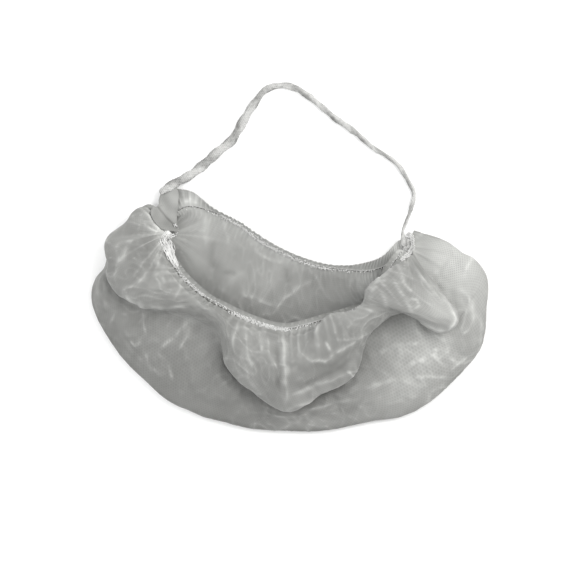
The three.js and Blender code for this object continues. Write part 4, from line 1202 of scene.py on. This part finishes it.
def cornerWedge():
    rng = random.Random(wedge["seed"])
    points, sideways, widths = widthRoute(wedge["route"], wedge["steps"])
    heights = np.array([restingOn(x, y) for x, y in points])
    lines = []
    for strand in range(wedge["strands"]):
        share, phase = mix(-0.5, 0.5, strand / (wedge["strands"] - 1)), rng.uniform(0, 6)
        first, last = rng.randint(0, 5), wedge["steps"] - rng.randint(0, 9)
        line = []
        for step in range(first, last):
            off = share * widths[step] + wedge["wander"] * math.sin(step * 0.5 + phase) * rng.uniform(0.4, 1)
            x, y = points[step] + sideways[step] * off
            low = min(restingOn(x, y, 1.2), heights[step] + 1.5) if abs(share) > 0.2 else heights[step]
            line.append((x, y, low + wedge["lift"] + 0.5 * math.cos(share * math.pi) * widths[step] / 8))
        lines.append(line)
    sewn("cornerWedge", lines, wedge["thread"])


cornerWedge()

# The overlocked cords round the corners: middle line and width in pixels
cords = dict(
    left=dict(
        route=((174.5, 224, 2.5), (176, 229, 3.5), (174.5, 234, 4), (170, 237, 4), (166, 237, 3)),
        turns=5, lift=1.6, seed=62,
    ),
    right=dict(
        route=(
            (408, 233, 4), (412, 235.5, 5), (413, 241, 5), (413, 247, 5), (410, 252, 5), (405.5, 256.5, 4.4),
            (400.5, 260.5, 3),
        ),
        turns=11, lift=0.9, seed=61,
    ),
)
cordThreads = dict(steps=96, strands=2, thread=0.3, loose=0.8, slack=0.9, jitter=0.1, flat=0.6, passes=8)


def cornerCord(name, cord):
    rng = random.Random(cord["seed"])
    steps, strands, jitter = (cordThreads[key] for key in ("steps", "strands", "jitter"))
    points, sideways, widths = widthRoute(cord["route"], steps)
    heights = np.array([restingOn(x, y) for x, y in points])
    for _ in range(cordThreads["passes"]):
        ease(heights)
    lines = []
    for strand in range(strands):
        phase, line = strand / strands * 2 * math.pi, []
        for step in np.arange(0, steps - 0.01, 0.5):
            at = int(step)
            turn = step / steps * cord["turns"] * 2 * math.pi + phase
            slack = cordThreads["slack"] * noise.noise(Vector((step * 0.21, phase, cord["seed"])))
            size = widths[at] / 2 * (cordThreads["loose"] + slack + rng.uniform(-jitter, jitter))
            x, y = mix(points[at], points[at + 1], step - at) + sideways[at] * math.cos(turn) * size
            line.append((x, y, heights[at] + cord["lift"] + math.sin(turn) * size * cordThreads["flat"]))
        lines.append(line)
    sewn(name + "Cord", lines, cordThreads["thread"])


for name, cord in cords.items():
    cornerCord(name, cord)
print("corners tacked")

# Floor, lights and camera

bpy.ops.mesh.primitive_plane_add(size=12)
floor = bpy.context.object
floor.name = "studioFloor"
paper = bpy.data.materials.new("palePaper")
paper.use_nodes = True
paperValues = {"Base Color": (*lights["floorColor"], 1), "Roughness": 0.9}
feed(paper.node_tree, paper.node_tree.nodes["Principled BSDF"], paperValues)
floor.data.materials.append(paper)

world = bpy.data.worlds.new("studio")
world.use_nodes = True
worldValues = {"Color": (1, 1, 1, 1), "Strength": lights["world"]}
feed(world.node_tree, world.node_tree.nodes["Background"], worldValues)
bpy.context.scene.world = world


def areaLight(name, setting):
    lamp = bpy.data.lights.new(name, "AREA")
    lamp.shape = "DISK"
    lamp.size, lamp.energy, lamp.color = setting["size"], setting["power"], setting["color"]
    holder = newObject(name, lamp)
    holder.location = setting["at"]
    holder.rotation_euler = Vector(setting["at"]).to_track_quat("Z", "Y").to_euler()


areaLight("keyLight", lights["key"])
areaLight("fillLight", lights["fill"])
view = bpy.context.scene.view_settings
view.view_transform, view.look, view.exposure, view.gamma = "Standard", "None", 0.0, 1.0

lens = bpy.data.cameras.new("photoCamera")
lens.lens = camera["lens"]
lens.clip_start, lens.clip_end = 0.05, 50
photoCamera = newObject("photoCamera", lens)
distance = camera["frame"] / 2 / (lens.sensor_width / 2 / lens.lens)
photoCamera.location = (0, 0, distance + camera["level"])
bpy.context.scene.camera = photoCamera

print("done")
